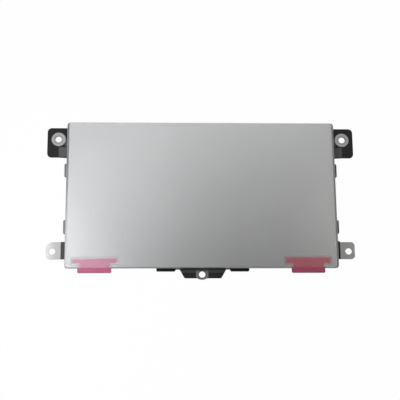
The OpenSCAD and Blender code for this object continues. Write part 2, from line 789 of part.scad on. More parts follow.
module switch_base() {
    color([0.13, 0.13, 0.14]) in_place() difference() {
        board_part(switch_at, switch_w, switch_w, switch_base_h);
        peg(switch_at, switch_pocket_r, switch_base_z - through, dome_rim_z);
    }
}

module switch_terminals() {
    color([0.8, 0.8, 0.78]) in_place() for (x = [-1, 1], y = [-1, 1])
        board_part(switch_at + [x * (switch_w + terminal.x) / 2, y * switch_w / 3],
                   terminal.x, terminal.y, terminal.z);
}

// Snap dome: a shallow cap of thin metal with its rim on the pocket's floor
module switch_dome() {
    rise = dome_rim_z - dome_crown_z;
    cap_r = (dome_rim_r * dome_rim_r + rise * rise) / (2 * rise);
    color([0.82, 0.8, 0.74]) in_place() translate([switch_at.x, switch_at.y, dome_crown_z])
        rotate_extrude() intersection() {
            translate([0, cap_r]) difference() {
                circle(cap_r, $fn = 200);
                circle(cap_r - dome_t, $fn = 200);
            }
            square([dome_rim_r, rise]);
        }
}

// Sheet cover with two clips over the base's sides
module switch_cover() {
    clip_h = switch_cover_t + switch_base_h / 2;
    half = switch_w / 2;
    color([0.7, 0.7, 0.7]) in_place() translate([switch_at.x, switch_at.y, switch_cover_z]) {
        linear_extrude(switch_cover_t) difference() {
            square(switch_w, center = true);
            circle(plunger_r + side_fit);
        }
        linear_extrude(clip_h) for (side = [-1, 1]) translate([0, side * (half + switch_cover_t / 2)])
            square([half, switch_cover_t], center = true);
    }
}

// Plunger: a stem through the cover, a flange behind it and a nib against the dome
module switch_plunger() {
    color([0.9, 0.9, 0.88]) in_place() translate([switch_at.x, switch_at.y, 0]) rotate_extrude() polygon([
        [0, plunger_z], [plunger_r - plunger_chamfer, plunger_z], [plunger_r, plunger_z + plunger_chamfer],
        [plunger_r, plunger_flange_z], [plunger_flange_r, plunger_flange_z],
        [plunger_flange_r, plunger_flange_top], [nib_r, plunger_flange_top], [nib_r, nib_top], [0, nib_top]]);
}

// Mounting frame

// Coined bare pad around the tab's hole, with a bowed front edge
module tab_pad_plan() {
    translate(tab_hole) intersection() {
        translate([0, tab_pad_bow_r - tab_pad_front]) circle(tab_pad_bow_r);
        span(-tab_pad_w / 2, tab_pad_w / 2, -tab_pad_front, tab_pad_back);
    }
}

// Trapezoid tab with rounded front corners
module nose_plan() {
    lean = atan2((nose_root_w - nose_tip_w) / 2, nose_out - apron_out);
    corner_x = nose_tip_w / 2 - nose_corner_r * tan((90 - lean) / 2);
    corner = [corner_x, nose_corner_r - nose_out - plate_y];
    right = concat(arc(corner, nose_corner_r, -90, -lean), [[nose_root_w / 2, -apron_out - plate_y]]);
    left = [for (i = [len(right) - 1:-1:0]) [-right[i].x, right[i].y]];
    polygon(concat(right, left));
}

// Moves what belongs to the front ears off the plate's middle
module ears_offset() {
    translate([-front_ear_offset, 0, 0]) children();
}

// Tongues over the front ears; the right-hand one has a flare at its rear root
module tongues_plan() {
    root = frame_x - front_ear_offset - fit;
    flare_x = frame_x + front_ear_offset;
    outer = plate_x + tongue_out;
    flare_y = front_ear_y1 + tongue_flare;
    both_sides() span(root, outer, front_ear_y0, front_ear_y1);
    polygon([[root, front_ear_y0], [outer, front_ear_y1], [flare_x, flare_y], [root, flare_y]]);
}

// Flat sheet of the frame: rails, cross bars, webs, apron, tab and tongues
module frame_plan() {
    difference() {
        union() {
            span(-frame_x, frame_x, frame_front, frame_rear);
            translate([nose_x, 0]) {
                span(-front_lip_end, front_lip_end, -apron_out - plate_y, frame_front + fit);
                nose_plan();
                both_sides() span(front_lip_x, front_lip_end, front_lip_y, frame_front + fit);
            }
            ears_offset() tongues_plan();
        }
        translate([0, window_y]) round_rect(2 * web_inner, window_rear - window_front, window_r);
        both_sides() translate([(web_outer + rail_inner) / 2, window_y])
            round_rect(rail_inner - web_outer, window_rear - window_front, window_r);
    }
}

// Lip bent down from the sheet's edge at y = 0 towards -Y, standing on z = 0
module lip(x0, x1) {
    draw_x(x0, x1) mirror([1, 0]) {
        translate([0, frame_z - lip_bend_r]) bend(frame_t, lip_bend_r);
        span(lip_bend_r, lip_reach, 0, frame_z - lip_bend_r);
    }
}

// Front lip with a chamfer at each end, on the right-hand side
module front_lip() {
    intersection() {
        lip(front_lip_x, front_lip_end);
        draw_z(0, frame_top) polygon([
            [front_lip_x, 0], [front_lip_x, front_lip_chamfer - lip_reach],
            [front_lip_x + front_lip_chamfer, -lip_reach], [front_lip_end - front_lip_corner, -lip_reach],
            [front_lip_end, front_lip_corner - lip_reach], [front_lip_end, 0]]);
    }
}

// Raised rear ear on a ramp, on the right-hand side
module rear_ear() {
    root = frame_x - frame_t;
    draw_z(rear_ear_z, rear_ear_z + frame_t) difference() {
        ear_plan(rear_ear_x0, rear_ear_x1, rear_ear_y0, rear_ear_y1, rear_ear_r, rear_ear_r);
        span(rear_ear_x0 - through, ramp_x1, rear_ear_y0 - through, ramp_y1 + ramp_slit);
    }
    draw_y(rear_ear_y0, ramp_y1) polygon([
        [root, frame_z], [ramp_x0, frame_z], [ramp_x1, rear_ear_z], [ramp_x1 + fit, rear_ear_z],
        [ramp_x1 + fit, rear_ear_z + frame_t], [ramp_x1, rear_ear_z + frame_t],
        [ramp_x0, frame_top], [root, frame_top]]);
    peg(rear_hole, rear_ring_r, rear_ear_z, rear_ear_z + frame_t + ring_h);
}

// Plan of the stiffening beads, narrowed by a wall on each side
module bead_plan(wall = 0) {
    translate([0, (frame_rear + window_rear) / 2]) slot_plan(rear_bead_l, bead_w - 2 * wall);
    both_sides() translate([front_bead_x, (frame_front + window_front) / 2])
        slot_plan(front_bead_l, bead_w - 2 * wall);
}

// Beads stand proud on top and are hollow underneath
module support_frame() {
    color([0.13, 0.13, 0.14]) in_place() difference() {
        union() {
            draw_z(frame_z, frame_top) frame_plan();
            draw_z(frame_z, frame_top + bead_h) bead_plan();
            draw_z(frame_z, frame_top + ring_h) tab_pad_plan();
            both_sides() rear_ear();
            translate([nose_x, front_lip_y, 0]) both_sides() front_lip();
            translate([0, frame_rear, 0]) mirror([0, 1, 0]) {
                lip(-rear_lip_mid_l / 2, rear_lip_mid_l / 2);
                both_sides() lip(rear_lip_side_x, rear_lip_side_x + rear_lip_side_l);
            }
        }
        draw_z(frame_z - through, frame_z + bead_h) bead_plan(frame_t);
        peg(tab_hole, screw_r, frame_z - through, frame_top + through);
        for (at = leaf_rivets(leaf_rear_rivet_y))
            peg(at, rivet_hole_r, frame_z - through, frame_top + through);
        both_sides() peg(rear_hole, screw_r, rear_ear_z - through, rear_ear_z + frame_t + through);
        ears_offset() both_sides() for (x = front_ear_rivets)
            peg([x, front_hole.y], rivet_hole_r, frame_z - through, frame_top + through);
    }
}

// Plated ear under the frame's front corner, on the right-hand side, with its rear corner rounded by r
module front_ear(r) {
    draw_z(front_ear_z, frame_z) difference() {
        ear_plan(front_ear_x0, front_ear_x1, front_ear_y0, front_ear_y1, front_ear_r, r);
        translate(front_hole) circle(screw_r);
        for (x = front_ear_rivets) translate([x, front_hole.y]) circle(rivet_hole_r);
    }
}

module front_ear_left() {
    color([0.7, 0.7, 0.7]) in_place() ears_offset() mirror([1, 0, 0]) front_ear(front_ear_bow_r);
}

module front_ear_right() {
    color([0.7, 0.7, 0.7]) in_place() ears_offset() front_ear(front_ear_r);
}

// Leaf springs and rivets

// Leaf: a flat foot on the frame, a sloped middle and a flat foot under the stiffener
module hinge_leaf(side) {
    low = frame_top;
    high = stiff_z - leaf_t;
    middle = side * leaf_x;
    color([0.5, 0.5, 0.51]) in_place() difference() {
        draw_x(middle - leaf_w / 2, middle + leaf_w / 2) polygon([
            [leaf_y3, low], [leaf_y2, low], [leaf_y1, high], [leaf_y0, high],
            [leaf_y0, stiff_z], [leaf_y1, stiff_z], [leaf_y2, low + leaf_t], [leaf_y3, low + leaf_t]]);
        draw_z(low - through, stiff_z + through) span(
            middle - leaf_cut_w / 2, middle + leaf_cut_w / 2,
            leaf_y1 + leaf_cut_margin, leaf_y2 - leaf_cut_margin);
        for (y = [leaf_rear_rivet_y, leaf_front_rivet_y], at = leaf_rivets(y))
            peg(at, rivet_hole_r, low - through, stiff_z + through);
    }
}

module hinge_leaf_left() {
    hinge_leaf(-1);
}

module hinge_leaf_right() {
    hinge_leaf(1);
}

// Rivet with a head below z0 and above z1
module rivet(at, z0, z1) {
    peg(at, rivet_r, z0 - rivet_head_h, z1 + rivet_head_h);
    peg(at, rivet_head_r, z0 - rivet_head_h, z0);
    peg(at, rivet_head_r, z1, z1 + rivet_head_h);
}

module leaf_rivets_rear() {
    color([0.66, 0.66, 0.66]) in_place()
        for (at = leaf_rivets(leaf_rear_rivet_y)) rivet(at, frame_z, frame_top + leaf_t);
}

// Rivets flush with the stiffener's top, where the board is bonded
module leaf_rivets_front() {
    color([0.66, 0.66, 0.66]) in_place() for (at = leaf_rivets(leaf_front_rivet_y)) {
        foot_z = stiff_z - leaf_t;
        peg(at, rivet_head_r, foot_z - rivet_head_h, foot_z);
        peg(at, rivet_r, foot_z - rivet_head_h, stiff_top);
        translate([at.x, at.y, stiff_z]) cylinder(r1 = rivet_r, r2 = rivet_head_r, h = stiff_t);
    }
}

module ear_rivets() {
    color([0.66, 0.66, 0.66]) in_place() ears_offset() both_sides() for (x = front_ear_rivets)
        rivet([x, front_hole.y], front_ear_z, frame_top);
}

// Soft pieces on the frame

module strike_pad() {
    color([0.2, 0.2, 0.2]) in_place() peg(switch_at, strike_r, frame_top, frame_top + strike_t);
}

module front_dampers() {
    color([0.16, 0.16, 0.16]) in_place() both_sides()
        translate([damper_x, switch_at.y, 0]) draw_z(frame_top, frame_top + damper_t)
            round_rect(damper_l, damper_w, damper_r);
}

touch_plate();
protective_film();
pull_tab_left();
pull_tab_right();
plate_adhesive();
sensor_board();
board_adhesive();
stiffener_plate();
touch_controller();
voltage_regulator();
board_capacitors();
board_resistors();
connector_housing();
connector_contacts();
connector_anchors();
connector_latch();
switch_base();
switch_terminals();
switch_dome();
switch_cover();
switch_plunger();
support_frame();
front_ear_left();
front_ear_right();
ear_rivets();
hinge_leaf_left();
hinge_leaf_right();
leaf_rivets_rear();
leaf_rivets_front();
strike_pad();
front_dampers();
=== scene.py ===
"""Looks of a laptop trackpad module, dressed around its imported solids.

Lengths are in metres in the frame's own axes: +X to the right, +Y to the rear and +Z up out of the
touch surface. The lips of the mounting frame stand on z = 0.
"""

import json
import logging
import math
from collections.abc import Callable, Sequence
from dataclasses import dataclass, field
from enum import Enum
from functools import cache
from itertools import product
from typing import Any

import bmesh
import bpy
from mathutils import Matrix, Vector


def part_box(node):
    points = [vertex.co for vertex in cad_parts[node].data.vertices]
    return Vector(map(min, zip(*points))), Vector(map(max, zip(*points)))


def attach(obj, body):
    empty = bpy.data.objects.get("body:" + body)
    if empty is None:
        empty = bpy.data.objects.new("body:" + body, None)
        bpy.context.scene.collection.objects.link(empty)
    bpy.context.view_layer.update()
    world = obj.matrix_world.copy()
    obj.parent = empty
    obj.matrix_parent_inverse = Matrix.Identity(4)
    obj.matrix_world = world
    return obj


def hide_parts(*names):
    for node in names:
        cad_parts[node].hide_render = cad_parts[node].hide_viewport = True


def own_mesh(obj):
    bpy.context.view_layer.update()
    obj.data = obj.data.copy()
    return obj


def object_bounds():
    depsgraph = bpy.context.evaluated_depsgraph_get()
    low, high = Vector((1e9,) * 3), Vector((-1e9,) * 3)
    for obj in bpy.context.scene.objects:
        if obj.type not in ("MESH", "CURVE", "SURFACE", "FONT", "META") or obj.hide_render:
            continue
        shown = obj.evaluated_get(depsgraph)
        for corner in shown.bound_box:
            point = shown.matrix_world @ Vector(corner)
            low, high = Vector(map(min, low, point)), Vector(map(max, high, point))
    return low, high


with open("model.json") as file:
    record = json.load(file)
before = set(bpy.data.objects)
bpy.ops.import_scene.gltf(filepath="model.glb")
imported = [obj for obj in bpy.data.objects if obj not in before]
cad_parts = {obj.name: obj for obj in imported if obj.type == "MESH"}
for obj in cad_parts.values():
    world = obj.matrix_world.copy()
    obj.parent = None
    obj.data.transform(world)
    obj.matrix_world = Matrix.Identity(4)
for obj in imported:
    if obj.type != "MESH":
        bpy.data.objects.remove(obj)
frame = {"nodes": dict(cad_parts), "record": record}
CAD_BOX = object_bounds()

MM = 0.001
MERGE_GAP = 1e-7
FLAT_ANGLE = math.radians(0.6)
SHARP_ANGLE = math.radians(32)
BEVEL_ANGLE = math.radians(40)
TAPE_ANGLE = math.radians(60)
FLAT_WEIGHT = 50
MICRON_DIGITS = 6
NOISE_MID = 0.5
UPSIDE_DOWN = (math.pi, 0.0, 0.0)
Pair = tuple[float, float]
Triple = tuple[float, float, float]
Colour = Triple
Box = tuple[Vector, Vector]
Piece = bpy.types.Object
log = logging.getLogger("trackpad")


def math_method(operation: str, swapped: bool = False) -> Callable[..., "Signal"]:
    """Makes a method that adds one Math or Vector Math node.

    Args:
        operation: the node's operation.
        swapped: whether the other value comes before the signal.

    Returns:
        The method, which takes the other value and gives the node's result.
    """
    def method(self: "Signal", other: Any = 0.0) -> "Signal":
        """Adds the node and gives its result."""
        values = {0: other, 1: self} if swapped else {0: self, 1: other}
        return self.tree.node(self.kind, {"operation": operation}, values)
    return method


class Signal:
    """The value of one socket in a node tree, which takes part in Python sums."""

    __add__, __radd__ = math_method("ADD"), math_method("ADD", True)
    __sub__, __rsub__ = math_method("SUBTRACT"), math_method("SUBTRACT", True)
    __mul__, __rmul__ = math_method("MULTIPLY"), math_method("MULTIPLY", True)
    __lt__, __gt__ = math_method("LESS_THAN"), math_method("GREATER_THAN")
    __truediv__, __abs__ = math_method("DIVIDE"), math_method("ABSOLUTE")
    smallest, largest = math_method("MINIMUM"), math_method("MAXIMUM")
    fraction, sign, unit = math_method("FRACT"), math_method("SIGN"), math_method("NORMALIZE")

    def __init__(self, tree: "NodeTree", socket: bpy.types.NodeSocket) -> None:
        """Wraps one output socket of a tree."""
        self.tree, self.socket = tree, socket
        self.kind = "ShaderNodeVectorMath" if socket.type == "VECTOR" else "ShaderNodeMath"


class NodeTree:
    """Builds one node tree, for a material or for geometry."""

    def __init__(self, tree: bpy.types.NodeTree) -> None:
        """Takes the tree that the nodes go into."""
        self.tree = tree

    def connect(self, socket: bpy.types.NodeSocket, value: Any) -> None:
        """Links a signal to a socket, or sets the socket's own value.

        Args:
            socket: the socket.
            value: a signal, a colour, a vector or a number.
        """
        if isinstance(value, Signal):
            self.tree.links.new(value.socket, socket)
        elif socket.type == "RGBA":
            socket.default_value = (*value, 1.0)
        elif socket.type == "VECTOR" and isinstance(value, (int, float)):
            socket.default_value = (value, value, value)
        else:
            socket.default_value = value

    def node(self, kind: str, settings: dict[str, Any] | None = None,
             inputs: dict[str | int, Any] | None = None, output: str | int = 0) -> Signal:
        """Adds one node.

        Args:
            kind: the node's type.
            settings: its own settings, which are set first.
            inputs: a value or a signal for each socket, by name or number.
            output: the socket to read, by name or number.

        Returns:
            The signal of that output.
        """
        made = self.tree.nodes.new(kind)
        for key, value in (settings or {}).items():
            setattr(made, key, value)
        for key, value in (inputs or {}).items():
            self.connect(made.inputs[key], value)
        return Signal(self, made.outputs[output])

    def axes(self, vector: Signal) -> tuple[Signal, ...]:
        """The X, Y and Z of a vector."""
        first = self.node("ShaderNodeSeparateXYZ", {}, {"Vector": vector})
        return tuple(Signal(self, socket) for socket in first.socket.node.outputs)

    def fade(self, value: Signal, start: float, end: float) -> Signal:
        """Runs smoothly from nought at one value to one at another."""
        return self.node("ShaderNodeMapRange", {"interpolation_type": "SMOOTHSTEP"},
                         {"Value": value, "From Min": start, "From Max": end})


class Paint(NodeTree):
    """Builds one material around a Principled shader."""

    def __init__(self, name: str) -> None:
        """Starts a material.

        Args:
            name: its name.
        """
        self.material = bpy.data.materials.new(name)
        self.material.use_nodes = True
        super().__init__(self.material.node_tree)
        self.shader = self.tree.nodes["Principled BSDF"]
        self.place = self.node("ShaderNodeTexCoord", output="Object")

    def set(self, sockets: dict[str, Any]) -> None:
        """Sets or links sockets of the shader, by their names."""
        for name, value in sockets.items():
            self.connect(self.shader.inputs[name], value)

    def noise(self, grain: float, detail: float = 2.0,
              stretch: Triple = (1.0, 1.0, 1.0)) -> Signal:
        """A soft random pattern.

        Args:
            grain: the size of its spots.
            detail: how many finer layers it has.
            stretch: a factor on each axis; under one, the spots grow long that way.

        Returns:
            A value about one half.
        """
        scale = [factor / grain for factor in stretch]
        spot = self.node("ShaderNodeMapping", {}, {"Vector": self.place, "Scale": scale})
        return self.node("ShaderNodeTexNoise", {}, {"Vector": spot, "Scale": 1.0, "Detail": detail})

    def within(self, value: Signal, limit: float, soft: float) -> Signal:
        """One up to a limit and nought past it, with a soft border."""
        return 1 - self.fade(value, limit - soft, limit + soft)

    def between(self, value: Signal, low: float, high: float, soft: float) -> Signal:
        """One between two values, with soft borders."""
        return self.fade(value, low - soft, low + soft) * self.within(value, high, soft)

    def from_axis(self, x: float, y: float) -> Signal:
        """Distance from an upright axis."""
        return self.node("ShaderNodeVectorMath", {"operation": "DISTANCE"},
                         {0: self.place * (1.0, 1.0, 0.0), 1: (x, y, 0.0)}, "Value")

    def attribute(self, name: str) -> Signal:
        """A value that the mesh carries."""
        return self.node("ShaderNodeAttribute", {"attribute_name": name}, {}, "Fac")

    def blend(self, share: Signal, first: "Colour | Signal", second: "Colour | Signal") -> Signal:
        """Mixes two colours."""
        return self.node("ShaderNodeMix", {"data_type": "RGBA"}, {0: share, 6: first, 7: second}, 2)

    def shades(self, share: Signal, colour: Colour, spread: float) -> Signal:
        """Varies a colour by a share of itself, darker at nought and paler at one."""
        dark, pale = ([min(1.0, part * (1 + way * spread)) for part in colour] for way in (-1, 1))
        return self.blend(share, dark, pale)

    def emboss(self, height: Signal, depth: float) -> None:
        """Raises the surface by a pattern, to a depth in metres."""
        bump = self.node("ShaderNodeBump", {}, {"Strength": 1.0, "Distance": depth, "Height": height})
        self.set({"Normal": bump})


class Grain(Enum):
    """The way that a grain runs, as a stretch of its pattern."""

    ALONG_X = (0.03, 1.0, 1.0)
    ALONG_Y = (1.0, 0.03, 1.0)
    TUMBLED = (1.0, 1.0, 1.0)


@dataclass(frozen=True)
class Finish:
    """A surface finish; each kind of finish paints its own pattern."""

    name: str
    colour: Colour
    roughness: float

    def paint(self, paint: Paint) -> None:
        """Sets the sockets and patterns of a material."""
        raise NotImplementedError


@cache
def material(finish: Finish) -> bpy.types.Material:
    """Makes the material of a finish, once."""
    finish.paint(paint := Paint(finish.name))
    return paint.material


@dataclass(frozen=True)
class PaintedLightAlongX:
    """Painted light along X: a finish's colour turns to another from one place to another, paler for a
    painted highlight and darker for painted shade.
    """

    start: float
    end: float
    colour: Colour


@dataclass(frozen=True)
class Textured(Finish):
    """A fine grain in relief over slow clouds, as on plastic, rubber, ceramic, etched metal or film.

    Attributes:
        fine: the size of the grain.
        depth: the depth of its relief.
        spread: how far the colour varies, as a share of itself.
        cloud: the size of the clouds, or None for one that goes by the grain.
        detail: how many finer layers the clouds have.
        share: the clouds' part in the colour.
        gloss: how far the grain and the clouds change the roughness.
        haze: how much a see-through finish hides, or nought for one that hides all.
        haze_mix: the even part of the haze, and the parts of the grain and the clouds.
        fine_detail: how many finer layers the grain has.
        cloud_ratio: the size of clouds that go by the grain, in grains.
    """

    fine: float = 0.08 * MM
    depth: float = 0.003 * MM
    spread: float = 0.12
    specular: float = 0.5
    metallic: float = 0.0
    grain: Grain = Grain.TUMBLED
    cloud: float | None = None
    detail: int = 3
    share: float = 0.5
    gloss: Pair = (0.2, 0.1)
    haze: float = 0.0
    light_along_x: PaintedLightAlongX | None = None
    haze_mix: Triple = (0.7, 0.3, 0.3)
    fine_detail: int = 3
    cloud_ratio: float = 20

    def paint(self, paint: Paint) -> None:
        """Paints the grain, the clouds and the painted light along X, where the finish has it.

        Args:
            paint: the material.
        """
        fine = paint.noise(self.fine, self.fine_detail, self.grain.value)
        cloud = paint.noise(self.cloud or self.cloud_ratio * self.fine, self.detail)
        tone = paint.shades(fine * (1 - self.share) + cloud * self.share, self.colour, self.spread)
        # Painted light along X: a painted highlight on one finish, painted shade on another.
        if self.light_along_x:
            share = paint.fade(paint.axes(paint.place)[0], self.light_along_x.start, self.light_along_x.end)
            tone = paint.blend(share, tone, self.light_along_x.colour)
        by_fine, by_cloud = self.gloss
        paint.set({
            "Base Color": tone,
            "Metallic": self.metallic,
            "Roughness": (self.roughness + (fine - NOISE_MID) * by_fine
                          + (cloud - NOISE_MID) * by_cloud),
            "Specular IOR Level": self.specular,
        })
        paint.emboss(fine, self.depth)
        if self.haze:
            even, by_fine, by_cloud = self.haze_mix
            paint.set({"Alpha": self.haze * (even + by_fine * fine + by_cloud * cloud)})


@dataclass(frozen=True)
class SheetMetal(Textured):
    """Bare or plated sheet metal with rolling marks and faint stains."""

    fine: float = 0.06 * MM
    depth: float = 0.002 * MM
    metallic: float = 1.0
    grain: Grain = Grain.ALONG_X
    cloud: float | None = 3 * MM
    detail: int = 4
    gloss: Pair = (0.18, 0.14)


@dataclass(frozen=True)
class BareSpot:
    """A bare disc in the coat about an upright screw hole at x and y, cut off straight at three sides.

    Attributes:
        shift: how far the disc's centre lies behind the hole.
        half: half the width between the straight sides.
        back: the reach behind the hole.
        seat: the radius of the darker seat of the screw's head.
        level: the height above which the coat is off.
        shine: how bare the metal is.
    """

    x: float
    y: float
    radius: float
    shift: float
    half: float
    back: float
    seat: float
    level: float
    shine: float

    def mask(self, paint: Paint, edge: float) -> Signal:
        """Tells the bare metal from the coat.

        Args:
            paint: the material.
            edge: how far the border fades to each side.

        Returns:
            One on the bare metal and nought on the coat.
        """
        x, y, z = paint.axes(paint.place)
        disc = paint.within(paint.from_axis(self.x, self.y + self.shift), self.radius, edge)
        side = paint.within(abs(x - self.x), self.half, edge)
        rear = paint.within(y - self.y, self.back, edge)
        return disc * side * rear * (z > self.level)


@dataclass(frozen=True)
class PaintedLightPatch:
    """A stretch of the coat painted paler by a share, as a box in plan with soft borders: painted light that
    stands in for reflections and fill light on the black coat.
    """

    x0: float
    x1: float
    y0: float
    y1: float
    soft: float
    share: float


@dataclass(frozen=True)
class CoatedSteel(Finish):
    """Black coat on sheet steel, bare about its screw holes, with stretches painted paler as painted light.

    Attributes:
        painted_light_mix: the even part of the painted light, and the part that goes by the clouds.
        bare_mix: the bare metal's tone, its speckle, and how much darker a seat is.
        gloss: how far the peel, the painted light and the bare metal change the roughness.
    """

    spots: tuple[BareSpot, ...] = ()
    patches: tuple[PaintedLightPatch, ...] = ()
    bare: Colour = (0.31, 0.31, 0.31)
    # The coat's colour where the painted light is full: paler than the coat, in place of reflections and
    # fill light.
    painted_light_colour: Colour = (0.116, 0.116, 0.116)
    edge: float = 0.05 * MM
    peel: float = 0.14 * MM
    peel_depth: float = 0.004 * MM
    cloud: float = 4 * MM
    turning: float = 0.05 * MM
    coat_spread: float = 0.25
    bare_spread: float = 0.22
    bare_metallic: float = 0.85
    specular: float = 0.22
    seat_edge: float = 0.15 * MM
    painted_light_mix: Pair = (0.75, 0.5)
    bare_mix: Triple = (0.55, 0.8, 0.5)
    gloss: Triple = (0.16, 0.05, 0.08)

    def paint(self, paint: Paint) -> None:
        """Paints the coat, its stretches of painted light and its bare spots.

        Args:
            paint: the material.
        """
        x, y, _ = paint.axes(paint.place)
        peel = paint.noise(self.peel)
        cloud = paint.noise(self.cloud, detail=3)
        turned = paint.noise(self.turning)
        ring = seat = painted_light_share = 0.0
        for spot in self.spots:
            ring = ring + spot.shine * spot.mask(paint, self.edge)
            seat = seat + paint.within(paint.from_axis(spot.x, spot.y), spot.seat, self.seat_edge)
        # Painted light: each patch paints the coat paler towards the painted light colour, in place of
        # reflections and fill light.
        for patch in self.patches:
            painted_light_share = painted_light_share + (patch.share * paint.between(x, patch.x0, patch.x1, patch.soft)
                               * paint.between(y, patch.y0, patch.y1, patch.soft))
        even, by_cloud = self.painted_light_mix
        coat = paint.blend(painted_light_share * (even + by_cloud * cloud),
                           paint.shades(cloud, self.colour, self.coat_spread), self.painted_light_colour)
        tone, speckle, darker = self.bare_mix
        metal = paint.shades(tone + (turned - NOISE_MID) * speckle - seat * darker, self.bare,
                             self.bare_spread)
        by_peel, by_painted_light, by_ring = self.gloss
        paint.set({
            "Base Color": paint.blend(ring, coat, metal),
            "Metallic": ring * self.bare_metallic,
            "Roughness": (self.roughness + (peel - NOISE_MID) * by_peel - painted_light_share * by_painted_light
                          - ring * by_ring),
            "Specular IOR Level": self.specular,
        })
        paint.emboss(peel, self.peel_depth)


@dataclass(frozen=True)
class TintedTape(Finish):
    """Pink tape: a see-through strip that fades to its rim, and a grip of two layers with a border painted
    dark as painted shade.
    """

    strip: Colour = (0.61, 0.228, 0.34)
    rim: Colour = (0.95, 0.86, 0.9)
    sheen: float = 0.5
    sheen_roughness: float = 0.3
    sheen_ior: float = 1.7
    strip_cover: float = 0.6
    strip_spread: float = 0.16
    grip_cover: float = 0.68
    grip_spread: float = 0.22
    # The colour of the grip's border: painted shade at its folded edges.
    border: Colour = (0.2, 0.03, 0.08)
    crease: float = 0.25 * MM
    crease_depth: float = 0.006 * MM
    crease_stretch: Triple = (1.0, 0.05, 1.0)
    cloud: float = 2.5 * MM
    cloud_share: float = 0.5
    gloss: float = 0.2

    def paint(self, paint: Paint) -> None:
        """Paints the tint, the borders, with the grip's dark border as painted shade, and the creases.

        Args:
            paint: the material.
        """
        inner = paint.attribute("inner")
        grip = paint.attribute("grip")
        crease = paint.noise(self.crease, stretch=self.crease_stretch)
        cloud = paint.noise(self.cloud, detail=3)
        mottle = crease * (1 - self.cloud_share) + cloud * self.cloud_share
        core = inner * inner
        single = paint.blend(1 - core, paint.shades(mottle, self.strip, self.strip_spread), self.rim)
        # The grip turns to the border colour towards its edges: painted shade.
        double = paint.blend(1 - inner, paint.shades(mottle, self.colour, self.grip_spread), self.border)
        sheen = self.sheen * (1 - grip)
        paint.set({
            "Base Color": paint.blend(grip, single, double),
            "Roughness": self.roughness + (crease - NOISE_MID) * self.gloss,
            "Metallic": sheen,
            "Coat Weight": sheen,
            "Coat Roughness": self.sheen_roughness,
            "Coat IOR": self.sheen_ior,
            "Alpha": self.strip_cover * core * (1 - grip) + self.grip_cover * grip,
        })
        paint.emboss(crease, self.crease_depth)


@dataclass(frozen=True)
class SolderMask(Finish):
    """Board laminate under solder mask, with copper tracks that show paler through it.

    Attributes:
        track_mix: how far the tracks show, evenly and by the weave.
        relief_mix: the parts of the tracks and the weave in the relief.
    """

    track: Colour = (0.03, 0.16, 0.09)
    pitch: float = 0.42 * MM
    width: float = 0.17
    cell: float = 4.6 * MM
    disorder: float = 0.6
    weave: float = 0.2 * MM
    spread: float = 0.2
    relief: float = 0.012 * MM
    track_mix: Pair = (0.6, 0.4)
    relief_mix: Pair = (0.7, 0.3)
    gloss: float = 0.15

    def paint(self, paint: Paint) -> None:
        """Paints runs of tracks that turn from cell to cell.

        Args:
            paint: the material.
        """
        x, y, _ = paint.axes(paint.place)
        cells = paint.node("ShaderNodeTexVoronoi", {"distance": "CHEBYCHEV"}, {
            "Vector": paint.place, "Scale": 1 / self.cell, "Randomness": self.disorder}, "Color")
        turn = paint.node("ShaderNodeSeparateColor", {}, {"Color": cells}) > 0.5
        across, along = (abs((axis / self.pitch).fraction() - 0.5) < self.width for axis in (x, y))
        track = across * turn + along * (1 - turn)
        weave = paint.noise(self.weave, detail=3)
        laminate = paint.shades(weave, self.colour, self.spread)
        even, by_weave = self.track_mix
        paint.set({
            "Base Color": paint.blend(track * (even + by_weave * weave), laminate, self.track),
            "Roughness": self.roughness + (weave - NOISE_MID) * self.gloss,
        })
        paint.emboss(track * self.relief_mix[0] + weave * self.relief_mix[1], self.relief)


class Slot(Enum):
    """The record's material slots, one named with each new piece; no piece is given its slot."""

    PLATE = "silver_plate"
    FILM = "clear_film"
    TAPE = "pink_tape"
    STEEL = "plated_steel"
    SPRING = "spring_steel"
    COAT = "black_coat"
    RESIN = "chip_resin"
    CERAMIC = "ceramic"
    IVORY = "ivory_plastic"
    DARK = "dark_plastic"
    WHITE = "white_plastic"
    CONTACT = "contact_metal"
    RUBBER = "black_rubber"


PLATE_SILVER = Textured("plate_silver", (0.397, 0.399, 0.402), 0.298, 0.09 * MM, 0.0015 * MM, 0.07,
                        metallic=0.832, cloud=16 * MM, detail=2, share=0.3, gloss=(0.08, 0.05))
FILM_HAZE = Textured("film_haze", (0.86, 0.87, 0.89), 0.38, 0.5 * MM, 0.002 * MM, 0.04, grain=Grain.ALONG_X,
                     cloud=9 * MM, share=1.0, gloss=(0.12, 0.0), haze=0.04)
TAPE_PALE = TintedTape("tape_pale", (0.667, 0.128, 0.29), 0.32)
TAPE_DEEP = TintedTape("tape_deep", (0.61, 0.078, 0.18), 0.32, (0.66, 0.103, 0.153), (0.9, 0.45, 0.5))
GLUE_MILK = Textured("glue_milk", (0.72, 0.71, 0.66), 0.5, 0.15 * MM, 0.006 * MM)
MASK_GREEN = SolderMask("mask_green", (0.012, 0.07, 0.04), 0.38)
STEEL_PLATED = SheetMetal("steel_plated", (0.36, 0.36, 0.355), 0.5, grain=Grain.ALONG_Y)
# Lit copy of the plated steel for the left front ear, a shade paler, with a painted highlight that turns
# paler towards the ear's outer end.
STEEL_PLATED_LIT = SheetMetal("steel_bright", (0.39, 0.39, 0.385), 0.5, grain=Grain.ALONG_Y,
                          light_along_x=PaintedLightAlongX(-56 * MM, -60.5 * MM, (0.55, 0.55, 0.545)))
